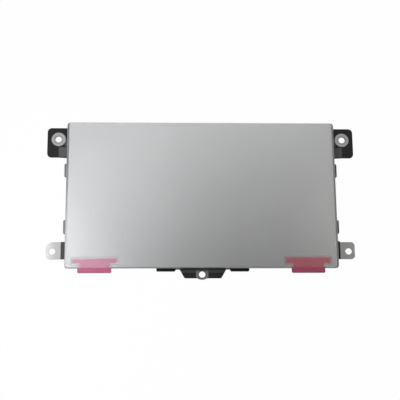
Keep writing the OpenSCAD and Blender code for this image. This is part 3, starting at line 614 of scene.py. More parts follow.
# Stiffener steel, painted darker past x = 52.4 mm: painted shade on the right hooks.
STEEL_STIFF = SheetMetal("steel_stiffener", (0.19, 0.19, 0.192), 0.42,
                         light_along_x=PaintedLightAlongX(52.4 * MM, 53.2 * MM, (0.07, 0.07, 0.072)))
STEEL_RIVET = SheetMetal("steel_rivet", (0.62, 0.61, 0.59), 0.34, grain=Grain.TUMBLED)
STEEL_SPRING = SheetMetal("steel_spring", (0.5, 0.49, 0.47), 0.28, grain=Grain.ALONG_Y)
RESIN_BLACK = Textured("resin_black", (0.022, 0.022, 0.024), 0.55)
CERAMIC_TAN = Textured("ceramic_tan", (0.33, 0.2, 0.11), 0.45, 0.05 * MM)
CERAMIC_BLACK = Textured("ceramic_black", (0.02, 0.02, 0.023), 0.35, 0.05 * MM)
IVORY = Textured("housing_ivory", (0.74, 0.68, 0.53), 0.48)
LATCH_DARK = Textured("latch_dark", (0.03, 0.028, 0.027), 0.42)
SWITCH_DARK = Textured("switch_dark", (0.02, 0.02, 0.022), 0.5)
PLUNGER_WHITE = Textured("plunger_white", (0.78, 0.77, 0.74), 0.42)
COAT_RAW = CoatedSteel("coat_raw", (0.02, 0.02, 0.021), 0.55)
RUBBER_BLACK = Textured("rubber_black", (0.018, 0.018, 0.018), 0.72, 0.11 * MM, 0.008 * MM, 0.2, 0.3)
CONTACT_GOLD = SheetMetal("contact_gold", (0.83, 0.6, 0.27), 0.25, 0.03 * MM, grain=Grain.ALONG_Y)
TIN = SheetMetal("tin", (0.66, 0.66, 0.65), 0.3, 0.05 * MM, 0.004 * MM, grain=Grain.TUMBLED)
COVER_STEEL = SheetMetal("cover_steel", (0.64, 0.64, 0.63), 0.3, 0.04 * MM)


def linked(name: str, data: bpy.types.ID) -> Piece:
    """Puts a mesh, a lamp or a camera into the scene at the origin.

    Args:
        name: the name of the new object.
        data: what it shows.

    Returns:
        The new object.
    """
    piece = bpy.data.objects.new(name, data)
    bpy.context.scene.collection.objects.link(piece)
    return piece


def settled(piece: Piece) -> Piece:
    """Turns a piece's modifiers into plain mesh.

    Args:
        piece: the piece.

    Returns:
        The same piece.
    """
    graph = bpy.context.evaluated_depsgraph_get()
    mesh = bpy.data.meshes.new_from_object(piece.evaluated_get(graph))
    piece.modifiers.clear()
    piece.data = mesh
    return piece


def smoothed(piece: Piece, angle: float = SHARP_ANGLE) -> Piece:
    """Shades a piece smoothly, apart from its sharp edges.

    Args:
        piece: the piece.
        angle: the angle past which an edge is sharp.

    Returns:
        The same piece.
    """
    piece.data.shade_smooth()
    piece.data.set_sharp_from_angle(angle=angle)
    return piece


def merged(node: str) -> bmesh.types.BMesh:
    """Copies a node's loose triangles and joins them into closed faces.

    Args:
        node: the name of the CAD node.

    Returns:
        The joined mesh, which the caller frees.
    """
    mesh = bmesh.new()
    mesh.from_mesh(frame["nodes"][node].data)
    bmesh.ops.remove_doubles(mesh, verts=mesh.verts, dist=MERGE_GAP)
    bmesh.ops.dissolve_limit(mesh, angle_limit=FLAT_ANGLE, verts=mesh.verts, edges=mesh.edges)
    return mesh


def evened(piece: Piece) -> Piece:
    """Shades a piece smoothly, with its flat faces kept flat up to their rounded edges.

    Args:
        piece: the piece.

    Returns:
        The same piece.
    """
    piece.data.shade_smooth()
    even = piece.modifiers.new("even", "WEIGHTED_NORMAL")
    even.mode = "FACE_AREA"
    even.weight = FLAT_WEIGHT
    return settled(piece)


def baked(mesh: bmesh.types.BMesh, name: str) -> bpy.types.Mesh:
    """Turns an edited mesh into mesh data, and frees it.

    Args:
        mesh: the edited mesh.
        name: the name of the data.

    Returns:
        The mesh data.
    """
    data = bpy.data.meshes.new(name)
    mesh.to_mesh(data)
    mesh.free()
    return data


def copied(node: str, name: str) -> Piece:
    """Copies a node as a piece of closed faces."""
    return linked(name, baked(merged(node), name))


def eased(node: str, name: str, edge: float, segments: int = 2) -> Piece:
    """Copies a node with its sharp edges rounded.

    Args:
        node: the name of the CAD node.
        name: the name of the new piece.
        edge: the width of the rounding.
        segments: how many faces go round an edge.

    Returns:
        The new piece.
    """
    piece = copied(node, name)
    bevel = piece.modifiers.new("ease", "BEVEL")
    bevel.width = edge
    bevel.segments = segments
    bevel.limit_method = "ANGLE"
    bevel.angle_limit = BEVEL_ANGLE
    return evened(settled(piece))


def solids(node: str) -> list[Box]:
    """Finds the separate solids of a node.

    Args:
        node: the name of the CAD node.

    Returns:
        The lowest and highest corner of each solid, from left to right and front to rear.
    """
    mesh = merged(node)
    left = set(mesh.verts)
    boxes = []
    while left:
        group, edge = set(), [left.pop()]
        while edge:
            vertex = edge.pop()
            group.add(vertex)
            near = {link.other_vert(vertex) for link in vertex.link_edges} & left
            left -= near
            edge.extend(near)
        sides = list(zip(*(vertex.co for vertex in group)))
        boxes.append((Vector(map(min, sides)), Vector(map(max, sides))))
    mesh.free()
    return sorted(boxes, key=lambda box: [round(side, MICRON_DIGITS) for side in box[0].xy])


class Pattern(NodeTree):
    """A Geometry Nodes tree that sets one shape on every point of a mesh."""

    head_sides = 24
    head_rings = 12
    block_points = 4

    def __init__(self, name: str, sizes: dict[str, float]) -> None:
        """Starts a tree with a named input for each size.

        Args:
            name: the name of the tree.
            sizes: the value of each size.
        """
        super().__init__(bpy.data.node_groups.new(name, "GeometryNodeTree"))
        self.sizes = sizes
        sockets = self.tree.interface
        sockets.new_socket("Points", in_out="INPUT", socket_type="NodeSocketGeometry")
        self.inputs = {size: sockets.new_socket(size, in_out="INPUT", socket_type="NodeSocketFloat")
                       for size in sizes}
        self.finish_input = sockets.new_socket("Finish", in_out="INPUT", socket_type="NodeSocketMaterial")
        sockets.new_socket("Shape", in_out="OUTPUT", socket_type="NodeSocketGeometry")
        self.entry = self.tree.nodes.new("NodeGroupInput")

    def size(self, name: str) -> Signal:
        """The value of one named input."""
        return Signal(self, self.entry.outputs[name])

    def vector(self, x: Signal | float, y: Signal | float, z: Signal | float) -> Signal:
        """A vector from three values."""
        return self.node("ShaderNodeCombineXYZ", {}, {"X": x, "Y": y, "Z": z})

    def moved(self, shape: Signal, place: Any = (0, 0, 0), turn: Any = (0, 0, 0)) -> Signal:
        """Turns a shape and then moves it."""
        return self.node("GeometryNodeTransform", {},
                         {"Geometry": shape, "Translation": place, "Rotation": turn})

    def joined(self, *shapes: Signal) -> Signal:
        """Joins shapes.

        Args:
            shapes: the shapes, in order.

        Returns:
            All of them as one.
        """
        join = self.tree.nodes.new("GeometryNodeJoinGeometry")
        for shape in reversed(shapes):
            self.connect(join.inputs[0], shape)
        return Signal(self, join.outputs[0])

    def button(self, crown: float = 1.6) -> Signal:
        """A round head of the tree's Radius and Height, with a flat base on z = 0 and a rounded rim.

        Args:
            crown: how soon the rim turns into the flat top; higher is flatter.

        Returns:
            The closed shape.
        """
        radius = self.size("Radius")
        ball = self.node("GeometryNodeMeshUVSphere", {}, {
            "Segments": self.head_sides, "Rings": self.head_rings, "Radius": radius})
        x, y, z = self.axes(self.node("GeometryNodeInputPosition"))
        level = (z * crown / radius).largest(0.0).smallest(1.0) * self.size("Height")
        return self.node("GeometryNodeSetPosition", {},
                         {"Geometry": ball, "Position": self.vector(x, y, level)})

    def block(self) -> Signal:
        """A box of the tree's Length, Width and Height about the origin, with edges of the radius Edge.

        Returns:
            The closed shape.
        """
        size = self.vector(self.size("Length"), self.size("Width"), self.size("Height"))
        points = {f"Vertices {axis}": self.block_points for axis in "XYZ"}
        cube = self.node("GeometryNodeMeshCube", {}, {"Size": size, **points})
        half = size * 0.5
        rim = self.vector(*[self.size("Edge")] * 3)
        inner = half - rim
        place = self.node("GeometryNodeInputPosition")
        spread = (abs(place) * (inner / half * (self.block_points - 1))).smallest(half)
        core = spread.smallest(inner)
        spot = (core + (spread - core).unit() * rim) * place.sign()
        return self.node("GeometryNodeSetPosition", {}, {"Geometry": cube, "Position": spot})

    def close(self, shape: Signal) -> "Pattern":
        """Sets a shape on every point, makes the copies real and gives them their finish.

        Args:
            shape: the shape.

        Returns:
            The pattern, ready to grow.
        """
        set_out = self.node("GeometryNodeInstanceOnPoints", {},
                            {"Points": self.size("Points"), "Instance": shape})
        real = self.node("GeometryNodeRealizeInstances", {}, {"Geometry": set_out})
        dressed = self.node("GeometryNodeSetMaterial", {},
                            {"Geometry": real, "Material": self.size("Finish")})
        self.connect(self.tree.nodes.new("NodeGroupOutput").inputs["Shape"], dressed)
        return self

    def grow(self, name: str, points: Sequence[Vector], finish: Finish) -> Piece:
        """Makes one plain mesh of the shape on all points.

        Args:
            name: the name of the piece.
            points: where the shape goes.
            finish: the finish of the piece.

        Returns:
            The piece.
        """
        seeds = bpy.data.meshes.new(name)
        seeds.from_pydata([tuple(point) for point in points], [], [])
        piece = linked(name, seeds)
        modifier = piece.modifiers.new("pattern", "NODES")
        modifier.node_group = self.tree
        for size, value in self.sizes.items():
            modifier[self.inputs[size].identifier] = value
        modifier[self.finish_input.identifier] = material(finish)
        return smoothed(settled(piece))


def blocks(label: str, sizes: Sequence[float], edge: float) -> Pattern:
    """A pattern of rounded boxes of one size.

    Args:
        label: the name of the tree.
        sizes: the size of a box along X, Y and Z.
        edge: the radius of its edges.

    Returns:
        The pattern, ready to grow.
    """
    tree = Pattern(label, dict(zip(("Length", "Width", "Height", "Edge"), (*sizes, edge))))
    return tree.close(tree.block())


def pads(label: str, radius: float, height: float, crown: float) -> Pattern:
    """A pattern of round pads that hang from a surface.

    Args:
        label: the name of the tree.
        radius: the radius of a pad.
        height: its height.
        crown: how soon its rim turns into the flat face; higher is flatter.

    Returns:
        The pattern, ready to grow.
    """
    tree = Pattern(label, {"Radius": radius, "Height": height})
    return tree.close(tree.moved(tree.button(crown), turn=UPSIDE_DOWN))


def middle(box: Box) -> Vector:
    """The centre of a box."""
    return (box[0] + box[1]) / 2


@dataclass
class SubAssembly:
    """A group of pieces that is built and dressed together."""

    pieces: list[Piece] = field(default_factory=list, init=False)

    def add(self, piece: Piece, body: str, slot: Slot, *nodes: str) -> Piece:
        """Takes a new piece into the group.

        Args:
            piece: the piece.
            body: the CAD body that it rides on.
            slot: the record's slot for its finish; not used.
            nodes: the CAD nodes that it stands for.

        Returns:
            The piece.
        """
        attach(piece, body)
        if nodes:
            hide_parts(*nodes)
        self.pieces.append(piece)
        return piece

    def wear(self, piece: Piece, finish: Finish) -> Piece:
        """Gives a piece one finish all over.

        Args:
            piece: the piece.
            finish: its finish.

        Returns:
            The same piece.
        """
        piece.data.materials.clear()
        piece.data.materials.append(material(finish))
        return piece

    def copy(self, node: str, body: str, slot: Slot, finish: Finish, edge: float) -> Piece:
        """Stands an eased copy in for a node and dresses it."""
        piece = self.wear(eased(node, f"{node}_eased", edge), finish)
        return self.add(piece, body, slot, node)

    def set_out(self, name: str, sizes: Sequence[float], edge: float, places: Sequence[Vector],
                finish: Finish, slot: Slot, *nodes: str, body: str = "pad") -> None:
        """Sets rounded boxes of one size on points, as one piece.

        Args:
            name: the name of the piece.
            sizes: the size of a box along X, Y and Z.
            edge: the radius of its edges.
            places: the middle of each box.
            finish: the finish of the boxes.
            slot: the record's slot for that finish.
            nodes: the CAD nodes that they stand for.
            body: the CAD body that they ride on.
        """
        self.add(blocks(name, sizes, edge).grow(name, places, finish), body, slot, *nodes)

    def dress_node(self, node: str, finish: Finish) -> None:
        """Gives a CAD node that stays as it is its finish."""
        self.pieces.append(self.wear(frame["nodes"][node], finish))

    def build(self) -> None:
        """Makes and dresses the pieces."""
        raise NotImplementedError

    def report(self) -> None:
        """Logs each piece with its count of faces."""
        for piece in self.pieces:
            log.info("%s: %s, %d faces", type(self).__name__, piece.name, len(piece.data.polygons))


@dataclass
class PullTab:
    """Pink tape tab: a strip and a neck under the film, and a grip folded double in front of the plate.

    Attributes:
        node: the CAD node that it stands for.
        rear: how far the strip's rear edge lies behind its place.
        lean: how much further back the strip's right end lies, as a share of its width.
        crease_x: where the grip's crease is, from its middle.
        spread: how far the strip's soft ends reach past their place.
        shift: how far the tape lies to the right of its place.
    """

    node: str
    rear: float
    lean: float
    crease_x: float
    spread: float
    shift: float = -0.24 * MM
    grip_w: float = 13.0 * MM
    neck_w: float = 13.7 * MM
    strip_d: float = 3.3 * MM
    layer: float = 0.045 * MM
    lift: float = 0.002 * MM
    corner: float = 0.5 * MM
    haze: float = 1.2 * MM
    overlap: float = 0.05 * MM
    # The width of the grip's border, which the tape's finish paints dark as painted shade.
    border: float = 0.28 * MM
    crease_h: float = 0.03 * MM
    crease_w: float = 0.45 * MM
    columns: int = 72
    rows: int = 12

    def __post_init__(self) -> None:
        """Finds the tape's place on the plate."""
        self.low, self.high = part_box(self.node)
        self.centre = (self.low.x + self.high.x) / 2 + self.shift
        self.half = (self.high.x - self.low.x) / 2 + self.spread
        self.strip_front = self.high.y - self.strip_d
        self.plate_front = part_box("touch_plate")[0].y
        self.level = self.low.z + self.lift

    def strip_rear(self, x: float) -> float:
        """The strip's rear edge at one X."""
        return self.high.y + self.rear + self.lean * (x - self.centre)

    def strip_point(self, u: float, v: float) -> Vector:
        """A point of the strip, u from left to right and v from front to rear."""
        x = self.centre + (2 * u - 1) * self.half
        return Vector((x, self.strip_front + v * (self.strip_rear(x) - self.strip_front), self.level))

    def neck_point(self, u: float, v: float) -> Vector:
        """A point between the plate's front edge and the strip."""
        x = self.centre + (u - 0.5) * self.neck_w
        return Vector((x, self.plate_front + v * (self.strip_front - self.plate_front), self.level))

    def grip_point(self, u: float, v: float) -> Vector:
        """A point of the grip.

        Args:
            u: from nought at the left to one at the right.
            v: from nought at the root out to the fold, and back on top to one.

        Returns:
            The point.
        """
        aside = (u - 0.5) * self.grip_w
        turn = max(0.0, self.corner + abs(aside) - self.grip_w / 2)
        tip = self.low.y + self.corner - math.sqrt(max(0.0, self.corner ** 2 - turn ** 2))
        root = self.plate_front + self.overlap
        y = tip + (root - tip) * abs(1 - 2 * v)
        level = self.low.z + self.layer + self.lift
        if v > 0.5:
            swell = math.exp(-((aside - self.crease_x) / self.crease_w) ** 2)
            level += self.lift + swell * self.crease_h * (2 * v - 1)
        return Vector((self.centre + aside, y, level))

    def strip_inner(self, spot: Vector) -> float:
        """Tells how far a point lies inside the strip and its neck.

        Args:
            spot: the point.

        Returns:
            Nought at the edge, and one where the haze ends.
        """
        aside = abs(spot.x - self.centre)
        front = max(spot.y - self.strip_front, self.neck_w / 2 - aside)
        return min(self.half - aside, self.strip_rear(spot.x) - spot.y, front) / self.haze

    def grip_inner(self, spot: Vector) -> float:
        """How far a point lies inside the grip's border, which is painted dark as painted shade, from nought
        at the edge to one.
        """
        return min(self.grip_w / 2 - abs(spot.x - self.centre), spot.y - self.low.y) / self.border

    def mesh(self) -> bpy.types.Mesh:
        """Makes the tape's middle surface with its attributes.

        Returns:
            The surface of the strip, the neck and the grip.
        """
        mesh = bmesh.new()
        inner = mesh.verts.layers.float.new("inner")
        grip = mesh.verts.layers.float.new("grip")
        sheets = ((0.0, self.strip_point, self.strip_inner, self.rows),
                  (0.0, self.neck_point, self.strip_inner, self.rows),
                  (1.0, self.grip_point, self.grip_inner, 2 * self.rows))
        for folded, point, depth, rows in sheets:
            grid = []
            for j in range(rows + 1):
                line = []
                for i in range(self.columns + 1):
                    spot = point(i / self.columns, j / rows)
                    vertex = mesh.verts.new(spot)
                    vertex[inner] = min(1.0, max(0.0, depth(spot)))
                    vertex[grip] = folded
                    line.append(vertex)
                grid.append(line)
            for front, rear in zip(grid, grid[1:]):
                for corners in zip(front, front[1:], rear[1:], rear):
                    mesh.faces.new(corners)
        return baked(mesh, self.node)

    def piece(self) -> Piece:
        """Makes the tape with its thickness.

        Returns:
            The piece.
        """
        tape = linked(f"{self.node}_tape", self.mesh())
        wall = tape.modifiers.new("thickness", "SOLIDIFY")
        wall.thickness = self.layer
        wall.offset = 1.0
        return smoothed(settled(tape), TAPE_ANGLE)


@dataclass
class TouchSurface(SubAssembly):
    """Touch plate, the film over it and the tabs that pull the film off."""

    film_corner: float = 1.2 * MM
    film_lift: float = 0.055 * MM
    corner_steps: int = 8

    def film(self) -> Piece:
        """Makes the film as a thin sheet with round corners, above the tabs' strips.

        Returns:
            The piece.
        """
        low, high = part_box("protective_film")
        mesh = bmesh.new()
        ring = []
        corners = ((high.x, high.y, 0), (low.x, high.y, 1), (low.x, low.y, 2), (high.x, low.y, 3))
        for x, y, quarter in corners:
            centre = Vector((x - math.copysign(self.film_corner, x), y - math.copysign(self.film_corner, y)))
            for step in range(self.corner_steps + 1):
                angle = (quarter + step / self.corner_steps) * math.pi / 2
                spot = centre + self.film_corner * Vector((math.cos(angle), math.sin(angle)))
                ring.append(mesh.verts.new((*spot, low.z + self.film_lift)))
        sheet = mesh.faces.new(ring)
        walls = bmesh.ops.extrude_face_region(mesh, geom=[sheet])
        upper = [item for item in walls["geom"] if isinstance(item, bmesh.types.BMVert)]
        bmesh.ops.translate(mesh, verts=upper, vec=(0, 0, high.z - low.z - self.film_lift))
        bmesh.ops.recalc_face_normals(mesh, faces=mesh.faces)
        return smoothed(linked("film_sheet", baked(mesh, "film_sheet")))

    def build(self) -> None:
        """Makes the plate, the film and the tabs."""
        plate = evened(copied("touch_plate", "touch_plate_satin"))
        self.add(self.wear(plate, PLATE_SILVER), "pad", Slot.PLATE, "touch_plate")
        self.add(self.wear(self.film(), FILM_HAZE), "pad", Slot.FILM, "protective_film")
        left = PullTab("pull_tab_left", 0.3 * MM, 0.02, 4.6 * MM, 0.8 * MM)
        right = PullTab("pull_tab_right", 0.75 * MM, 0.0, -2.0 * MM, 1.0 * MM)
        for tab, finish in ((left, TAPE_PALE), (right, TAPE_DEEP)):
            self.add(self.wear(tab.piece(), finish), "pad", Slot.TAPE, tab.node)


@dataclass
class BondedStack(SubAssembly):
    """Adhesive sheets, sensor board and stiffener under the plate, with pads on the board."""

    edge: float = 0.05 * MM
    pad_r: float = 0.3 * MM
    pad_h: float = 0.02 * MM
    pad_crown: float = 4.0
    pad_pitch: float = 1.2 * MM
    chip_gap: float = 0.9 * MM
    chip_row: int = 6
    regulator_gap: float = 2.2 * MM
    regulator_row: int = 4

    def test_pads(self) -> list[Vector]:
        """Places of the gold test pads, in rows beside the chip and the regulator.

        Returns:
            The middle of each pad.
        """
        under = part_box("sensor_board")[0].z
        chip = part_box("touch_controller")[0]
        regulator = middle(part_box("voltage_regulator"))
        start = regulator.x - (self.regulator_row - 1) / 2 * self.pad_pitch
        beside = [Vector((chip.x - self.chip_gap, chip.y + step * self.pad_pitch, under))
                  for step in range(self.chip_row)]
        below = [Vector((start + step * self.pad_pitch, regulator.y - self.regulator_gap, under))
                 for step in range(self.regulator_row)]
        return beside + below

    def build(self) -> None:
        """Dresses the stack and sets out the test pads."""
        self.dress_node("plate_adhesive", GLUE_MILK)
        self.dress_node("board_adhesive", GLUE_MILK)
        self.dress_node("sensor_board", MASK_GREEN)
        self.copy("stiffener_plate", "pad", Slot.STEEL, STEEL_STIFF, self.edge)
        tree = pads("test_pads", self.pad_r, self.pad_h, self.pad_crown)
        self.add(tree.grow("test_pads", self.test_pads(), CONTACT_GOLD), "pad", Slot.CONTACT)


@dataclass
class BoardParts(SubAssembly):
    """Chips and small parts soldered under the sensor board."""

    edge: float = 0.03 * MM
    end_share: float = 0.24
    end_swell: float = 0.02 * MM
    chip_pads: int = 12
    chip_pad: Triple = (0.25 * MM, 0.4 * MM, 0.12 * MM)
    lead: Triple = (0.4 * MM, 0.8 * MM, 0.15 * MM)
    moulded_edge: float = 0.09 * MM

    def small_parts(self, node: str, finish: Finish, slot: Slot) -> None:
        """Replaces a group of small parts by bodies and tinned ends.

        Args:
            node: the CAD node that holds the group.
            finish: the finish of the bodies.
            slot: the slot of the bodies.
        """
        sets: dict[Triple, list[Vector]] = {}
        for box in solids(node):
            size = tuple(round(part, MICRON_DIGITS) for part in box[1] - box[0])
            sets.setdefault(size, []).append(middle(box))
        for number, (size, places) in enumerate(sets.items()):
            long = 0 if size[0] > size[1] else 1
            end = [part + self.end_swell for part in size]
            end[2] = size[2]
            end[long] = size[long] * self.end_share
            body = [part - self.end_swell for part in size]
            body[long] = size[long] - 2 * end[long] + self.end_swell
            shift = Vector((0, 0, 0))
            shift[long] = (size[long] - end[long]) / 2
            ends = [place + side * shift for place in places for side in (-1, 1)]
            self.set_out(f"{node}_body_{number}", body, self.edge, places, finish, slot, node)
            self.set_out(f"{node}_ends_{number}", end, self.edge, ends, TIN, Slot.CONTACT)

    def chip_edge_pads(self) -> None:
        """Sets solder pads along the four sides of the chip."""
        low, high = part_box("touch_controller")
        width, depth, height = self.chip_pad
        centre = middle((low, high))
        half = (high.x - low.x) / 2
        pitch = (high.x - low.x) / (self.chip_pads + 1)
        level = high.z - height / 2
        for name, size, turned in (("x", (width, depth, height), 0), ("y", (depth, width, height), 1)):
            places = []
            for side, step in product((-1, 1), range(self.chip_pads)):
                along = (step - (self.chip_pads - 1) / 2) * pitch
                x, y = (side * half, along) if turned else (along, side * half)
                places.append(Vector((centre.x + x, centre.y + y, level)))
            self.set_out(f"chip_pads_{name}", size, self.edge, places, TIN, Slot.CONTACT)

    def regulator(self) -> None:
        """Replaces the regulator by its moulded body and its tinned leads."""
        low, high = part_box("voltage_regulator")
        centre = middle((low, high))
        _, width, height = self.lead
        body = (high.x - low.x, (high.y - low.y) - width, high.z - low.z - height / 2)
        place = Vector((centre.x, centre.y, low.z + body[2] / 2))
        self.set_out("regulator_body", body, self.moulded_edge, [place], RESIN_BLACK, Slot.RESIN,
                     "voltage_regulator")
        steps = (-1, 0, 1)
        pitch = body[0] / len(steps)
        leads = [Vector((centre.x + step * pitch, centre.y + side * body[1] / 2, high.z - height / 2))
                 for step, side in product(steps, (-1, 1))]
        self.set_out("regulator_leads", self.lead, self.edge, leads, TIN, Slot.CONTACT)

    def build(self) -> None:
        """Makes the chips and the small parts."""
        self.copy("touch_controller", "pad", Slot.RESIN, RESIN_BLACK, self.edge)
        self.chip_edge_pads()
        self.regulator()
        self.small_parts("board_capacitors", CERAMIC_TAN, Slot.CERAMIC)
        self.small_parts("board_resistors", CERAMIC_BLACK, Slot.RESIN)


@dataclass
class CableConnector(SubAssembly):
    """Flat-cable connector with its flip latch."""

    edge: float = 0.03 * MM
    blob_r: float = 0.16 * MM
    blob_h: float = 0.09 * MM
    blob_crown: float = 1.1

    def build(self) -> None:
        """Dresses the connector and solders its tails."""
        self.copy("connector_housing", "pad", Slot.IVORY, IVORY, self.edge)
        self.copy("connector_latch", "latch", Slot.DARK, LATCH_DARK, self.edge)
        self.copy("connector_anchors", "pad", Slot.CONTACT, TIN, self.edge)
        self.copy("connector_contacts", "pad", Slot.CONTACT, CONTACT_GOLD, self.edge / 2)
        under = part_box("sensor_board")[0].z
        tails = [Vector((middle(box).x, box[0].y, under)) for box in solids("connector_contacts")]
        tree = pads("tail_solder", self.blob_r, self.blob_h, self.blob_crown)
        self.add(tree.grow("tail_solder", tails, TIN), "pad", Slot.CONTACT)


@dataclass
class ClickSwitch(SubAssembly):
    """Dome switch under the front of the board, and the pad that it strikes."""

    edge: float = 0.025 * MM
    dome_edge: float = 0.006 * MM

    def give_way(self, dome: Piece) -> None:
        """Gives the dome a mesh of its own; nothing flattens it here.

        Args:
            dome: the dome's piece.
        """
        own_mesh(dome)

    def build(self) -> None:
        """Dresses the switch and the strike pad."""
        self.copy("switch_base", "pad", Slot.DARK, SWITCH_DARK, self.edge)
        self.copy("switch_cover", "pad", Slot.CONTACT, COVER_STEEL, self.edge)
        self.copy("switch_terminals", "pad", Slot.CONTACT, TIN, self.edge)
        self.copy("switch_plunger", "plunger", Slot.WHITE, PLUNGER_WHITE, self.edge)
        self.copy("strike_pad", "frame", Slot.RUBBER, RUBBER_BLACK, self.edge)
        self.give_way(self.copy("switch_dome", "pad", Slot.SPRING, STEEL_SPRING, self.dome_edge))


@dataclass
class RivetSet(SubAssembly):
    """Rivets of one body, with a rounded head at each shown end."""

    body: str = "frame"
    nodes: tuple[str, ...] = ()
    head_h: float = 0.2 * MM
    both_heads: bool = True

    def build(self) -> None:
        """Sets rounded heads where the CAD rivets are."""
        for node in self.nodes:
            boxes = solids(node)
            low, high = boxes[0]
            radius = (high.x - low.x) / 2
            tree = Pattern(node, {"Radius": radius, "Height": self.head_h, "Grip": high.z - low.z})
            head = tree.button()
            lower = tree.moved(head, tree.vector(0.0, 0.0, tree.size("Height")), UPSIDE_DOWN)
            upper = tree.moved(head, tree.vector(0.0, 0.0, tree.size("Grip") - tree.size("Height")))
            tree.close(tree.joined(lower, upper) if self.both_heads else lower)
            feet = [Vector((middle(box).x, middle(box).y, box[0].z)) for box in boxes]
            self.add(tree.grow(f"{node}_heads", feet, STEEL_RIVET), self.body, Slot.STEEL, node)


@dataclass
class MountingFrame(SubAssembly):
    """Black frame with its raised ears, plated front ears and rubber dampers."""

    edge: float = 0.05 * MM
    ring_r: float = 2.8 * MM
    seat_r: float = 1.8 * MM
    pad_half: float = 2.4 * MM
    pad_back: float = 1.85 * MM
    pad_bow_r: float = 3.6 * MM
    pad_shine: float = 0.65
    coin_h: float = 0.03 * MM
    ramp_l: float = 3.25 * MM
    ramp_w: float = 4.5 * MM
    margin_w: float = 0.9 * MM
    web: Triple = (2.9 * MM, 0.2 * MM, 0.5 * MM)
    web_gap: float = 0.2 * MM
    ear_end: float = 2 * MM
    ramp_gap: float = 0.3 * MM
    tab_half: float = 8.6 * MM
    tab_d: float = 1.3 * MM
    tongue_w: float = 1.7 * MM
    # Painted light on the coat, as the soft border and the share of each place: the tab's root is lifted out
    # of the plate's shade, and the ramps, margins and left tongue are painted paler as painted reflections.
    tab_light: Pair = (0.5 * MM, 0.8)
    ramp_light: Pair = (0.4 * MM, 1.0)
    margin_light: Pair = (0.4 * MM, 0.9)
    tongue_light: Pair = (0.3 * MM, 0.5)

    def mounts(self) -> dict[str, Any]:
        """The record's mounts by their names."""
        return {mount["name"]: mount for mount in frame["record"]["mounts"]}

    def spots(self) -> list[BareSpot]:
        """The bare places: the front tab's pad and the rear ears' rings.

        Returns:
            The front spot, and then the rear ones.
        """
        low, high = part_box("support_frame")
        tab, rear = self.mounts()["front_tab_screw"], self.mounts()["rear_ear_screws"]
        x, y, z = tab["pos_m"]
        shift = self.pad_bow_r - (y - low.y)
        found = [BareSpot(x, y, self.pad_bow_r, shift, self.pad_half, self.pad_back, self.seat_r, z,
                          self.pad_shine)]
        level = high.z - self.coin_h
        for side in (-1, 1):
            x = side * rear["dims"]["spacing_x_mm"] / 2 * MM
            found.append(BareSpot(x, rear["pos_m"][1], self.ring_r, 0.0, self.ring_r, self.ring_r,
                                  self.seat_r, level, 1.0))
        return found

    def patches(self) -> list[PaintedLightPatch]:
        """The painted light: paler places on the ramps and margins of the rear ears, at the tab's root and
        on the left tongue.

        Returns:
            The patches.
        """
        low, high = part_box("touch_plate")
        ramp = self.ear_front()
        hole = self.mounts()["rear_ear_screws"]["pos_m"][1]
        found = [PaintedLightPatch(-self.tab_half, self.tab_half, low.y - self.tab_d, low.y, *self.tab_light)]
        bands = ((self.ramp_l, ramp + self.ramp_gap, ramp + self.ramp_w, self.ramp_light),
                 (self.margin_w, ramp + self.ramp_w, hole, self.margin_light))
        for side in (-1, 1):
            for width, front, rear, lit in bands:
                x0, x1 = sorted((side * high.x, side * (high.x + width)))
                found.append(PaintedLightPatch(x0, x1, front, rear, *lit))
        ear_low, ear_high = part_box("front_ear_left")
        found.append(PaintedLightPatch(low.x - self.tongue_w, low.x, ear_low.y, ear_high.y, *self.tongue_light))
        return found

    def coat(self) -> CoatedSteel:
        """The black coat, bare about the frame's holes, with painted light on the ramps, the margins, the
        tab's root and the left tongue.
        """
        return CoatedSteel("frame_coat", (0.015, 0.015, 0.016), 0.46, tuple(self.spots()),
                           tuple(self.patches()))

    def ear_front(self) -> float:
        """The front edge of the rear ears."""
        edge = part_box("support_frame")[1].x - self.ear_end
        return min(v.co.y for v in frame["nodes"]["support_frame"].data.vertices if v.co.x > edge)

    def lance_webs(self) -> None:
        """Closes the lanced slit between each rear ear and its ramp with a torn web of metal."""
        length, width, height = self.web
        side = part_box("touch_plate")[1].x + self.web_gap + length / 2
        y = self.ear_front() + self.ramp_w + width / 2
        z = self.mounts()["rear_ear_screws"]["pos_m"][2] - height / 2
        places = [Vector((side * way, y, z)) for way in (-1, 1)]
        self.set_out("lance_webs", self.web, self.edge / 2, places, COAT_RAW, Slot.COAT, body="frame")

    def build(self) -> None:
        """Dresses the frame, its ears and its dampers."""
        self.copy("support_frame", "frame", Slot.COAT, self.coat(), self.edge)
        self.lance_webs()
        # The left ear wears the lit copy of the plated steel with its painted highlight; the right ear wears
        # the plain one.
        for side, finish in (("left", STEEL_PLATED_LIT), ("right", STEEL_PLATED)):
            self.copy(f"front_ear_{side}", "frame", Slot.STEEL, finish, self.edge)
            self.dress_node(f"hinge_leaf_{side}", STEEL_SPRING)
        self.copy("front_dampers", "frame", Slot.RUBBER, RUBBER_BLACK, self.edge)


@dataclass(frozen=True)
class Lamp:
    """A soft square lamp that looks at the middle of the plate."""

    name: str
    place: Triple
    size: float
    power: float
    colour: Colour = (1.0, 1.0, 1.0)

    def hang(self, target: Vector) -> None:
        """Puts the lamp into the scene.

        Args:
            target: the point that it looks at.
        """
        light = bpy.data.lights.new(self.name, "AREA")
        light.size = self.size
        light.energy = self.power
        light.color = self.colour
        lamp = linked(self.name, light)
        lamp.location = self.place
        lamp.visible_camera = False
        lamp.rotation_euler = (target - Vector(self.place)).to_track_quat("-Z", "Y").to_euler()


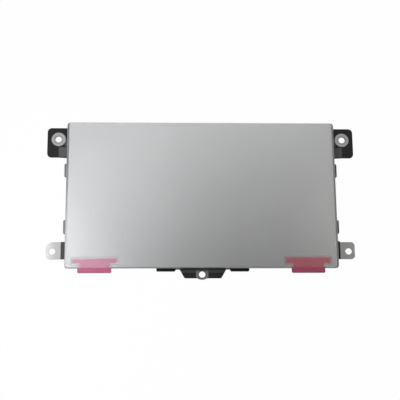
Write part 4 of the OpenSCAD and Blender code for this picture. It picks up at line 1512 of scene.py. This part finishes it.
@dataclass
class Studio:
    """Floor, light and camera of the photograph."""

    azimuth: float = -8.7289
    elevation: float = 74.472
    roll: float = 8.483
    distance: float = 434.3541 * MM
    target: Triple = (-0.6672 * MM, -0.4154 * MM, 3.65 * MM)
    lens: float = 100.0
    sensor: float = 36.0
    clip_start: float = 1 * MM
    floor_gap: float = 0.02 * MM
    floor_half: float = 1.5
    floor_white: float = 0.985
    floor_paper: Colour = (0.86, 0.86, 0.86)
    floor_spread: float = 0.02
    floor_grain: float = 2 * MM
    floor_roughness: float = 0.9
    floor_mirror: float = 0.6
    sky: float = 0.0698
    walls: float = 0.64
    walls_slope: Pair = (-0.2, 0.3)
    walls_low: float = 0.3
    walls_high: float = 0.8
    lamps: tuple[Lamp, ...] = (
        Lamp("softbox_left", (-0.0794, -0.0331, 0.0782), 0.1232, 0.0886, (0.982, 0.992, 1.0)),
        Lamp("softbox_rear", (0.027, 0.4341, 0.618), 0.461, 1.2883),
        Lamp("softbox_top", (-0.091, 0.1701, 0.6187), 0.134, 0.1738, (0.99, 0.995, 1.0)),
        Lamp("kicker_right", (0.1091, 0.029, 0.1857), 0.072, 0.0177, (1.0, 1.0, 0.92)),
    )

    def camera(self) -> None:
        """Stands the camera where the photograph was taken from."""
        turn = Matrix.Identity(4)
        for angle, axis in ((self.azimuth, "Z"), (90 - self.elevation, "X"), (self.roll, "Z")):
            turn = turn @ Matrix.Rotation(math.radians(angle), 4, axis)
        back = Matrix.Translation((0, 0, self.distance))
        data = bpy.data.cameras.new("camera")
        data.lens = self.lens
        data.sensor_width = self.sensor
        data.clip_start = self.clip_start
        camera = linked("camera", data)
        camera.matrix_world = Matrix.Translation(self.target) @ turn @ back
        bpy.context.scene.camera = camera

    def seen_directly(self, tree: NodeTree, mirrored: Signal | float) -> Signal:
        """Tells what sees the background from what is lit by it.

        Args:
            tree: the tree of the floor or the sky.
            mirrored: how much of the white shows in a mirror.

        Returns:
            One on rays from the camera, a mirror or a clear piece, and nought on light's own rays.
        """
        path = tree.tree.nodes.new("ShaderNodeLightPath")
        camera, glossy, clear = (Signal(tree, path.outputs[name]) for name in
                                 ("Is Camera Ray", "Is Glossy Ray", "Is Transmission Ray"))
        return camera.largest(glossy * mirrored).largest(clear)

    def floor(self) -> None:
        """Lays the pale floor, which shows white and keeps a faint shadow."""
        mesh = bpy.data.meshes.new("floor")
        half, level = self.floor_half, CAD_BOX[0][2] - self.floor_gap
        corners = [(-half, -half, level), (half, -half, level), (half, half, level), (-half, half, level)]
        mesh.from_pydata(corners, [], [(0, 1, 2, 3)])
        paint = Paint("floor_paper")
        paper = paint.shades(paint.noise(self.floor_grain, 3), self.floor_paper, self.floor_spread)
        paint.set({"Base Color": paper, "Roughness": self.floor_roughness})
        glow = paint.node("ShaderNodeEmission", {}, {"Color": (1.0, 1.0, 1.0), "Strength": 1.0})
        share = self.seen_directly(paint, self.floor_mirror) * self.floor_white
        mixed = paint.node("ShaderNodeMixShader", {}, {
            0: share, 1: Signal(paint, paint.shader.outputs[0]), 2: glow})
        paint.connect(paint.tree.nodes["Material Output"].inputs["Surface"], mixed)
        mesh.materials.append(paint.material)
        linked("floor", mesh)

    def world(self) -> None:
        """Sets a dim even sky that shows white, and in a mirror pale walls, palest at the rear left."""
        world = bpy.data.worlds.new("studio")
        world.use_nodes = True
        tree = NodeTree(world.node_tree)
        x, y, z = tree.axes(tree.node("ShaderNodeTexCoord", output="Generated"))
        low = 1 - tree.fade(z, self.walls_low, self.walls_high)
        walls = self.walls + x * self.walls_slope[0] + y * self.walls_slope[1]
        strength = self.sky + (1.0 - self.sky) * self.seen_directly(tree, low * walls)
        ground = world.node_tree.nodes["Background"]
        tree.connect(ground.inputs["Color"], (1.0, 1.0, 1.0))
        tree.connect(ground.inputs["Strength"], strength)
        bpy.context.scene.world = world

    def build(self) -> None:
        """Sets up the camera, the floor, the sky and the lamps."""
        self.camera()
        self.floor()
        self.world()
        for lamp in self.lamps:
            lamp.hang(Vector(self.target))
        bpy.context.scene.view_settings.view_transform = "Standard"


def main() -> None:
    """Builds the studio and every sub-assembly."""
    logging.basicConfig(level=logging.INFO, format="%(message)s")
    Studio().build()
    assemblies: list[SubAssembly] = [
        TouchSurface(), BondedStack(), BoardParts(), CableConnector(), ClickSwitch(), MountingFrame(),
        RivetSet("frame", ("leaf_rivets_rear", "ear_rivets")),
        RivetSet("pad", ("leaf_rivets_front",), both_heads=False),
    ]
    for assembly in assemblies:
        assembly.build()
        assembly.report()


if __name__ == "__main__":
    main()
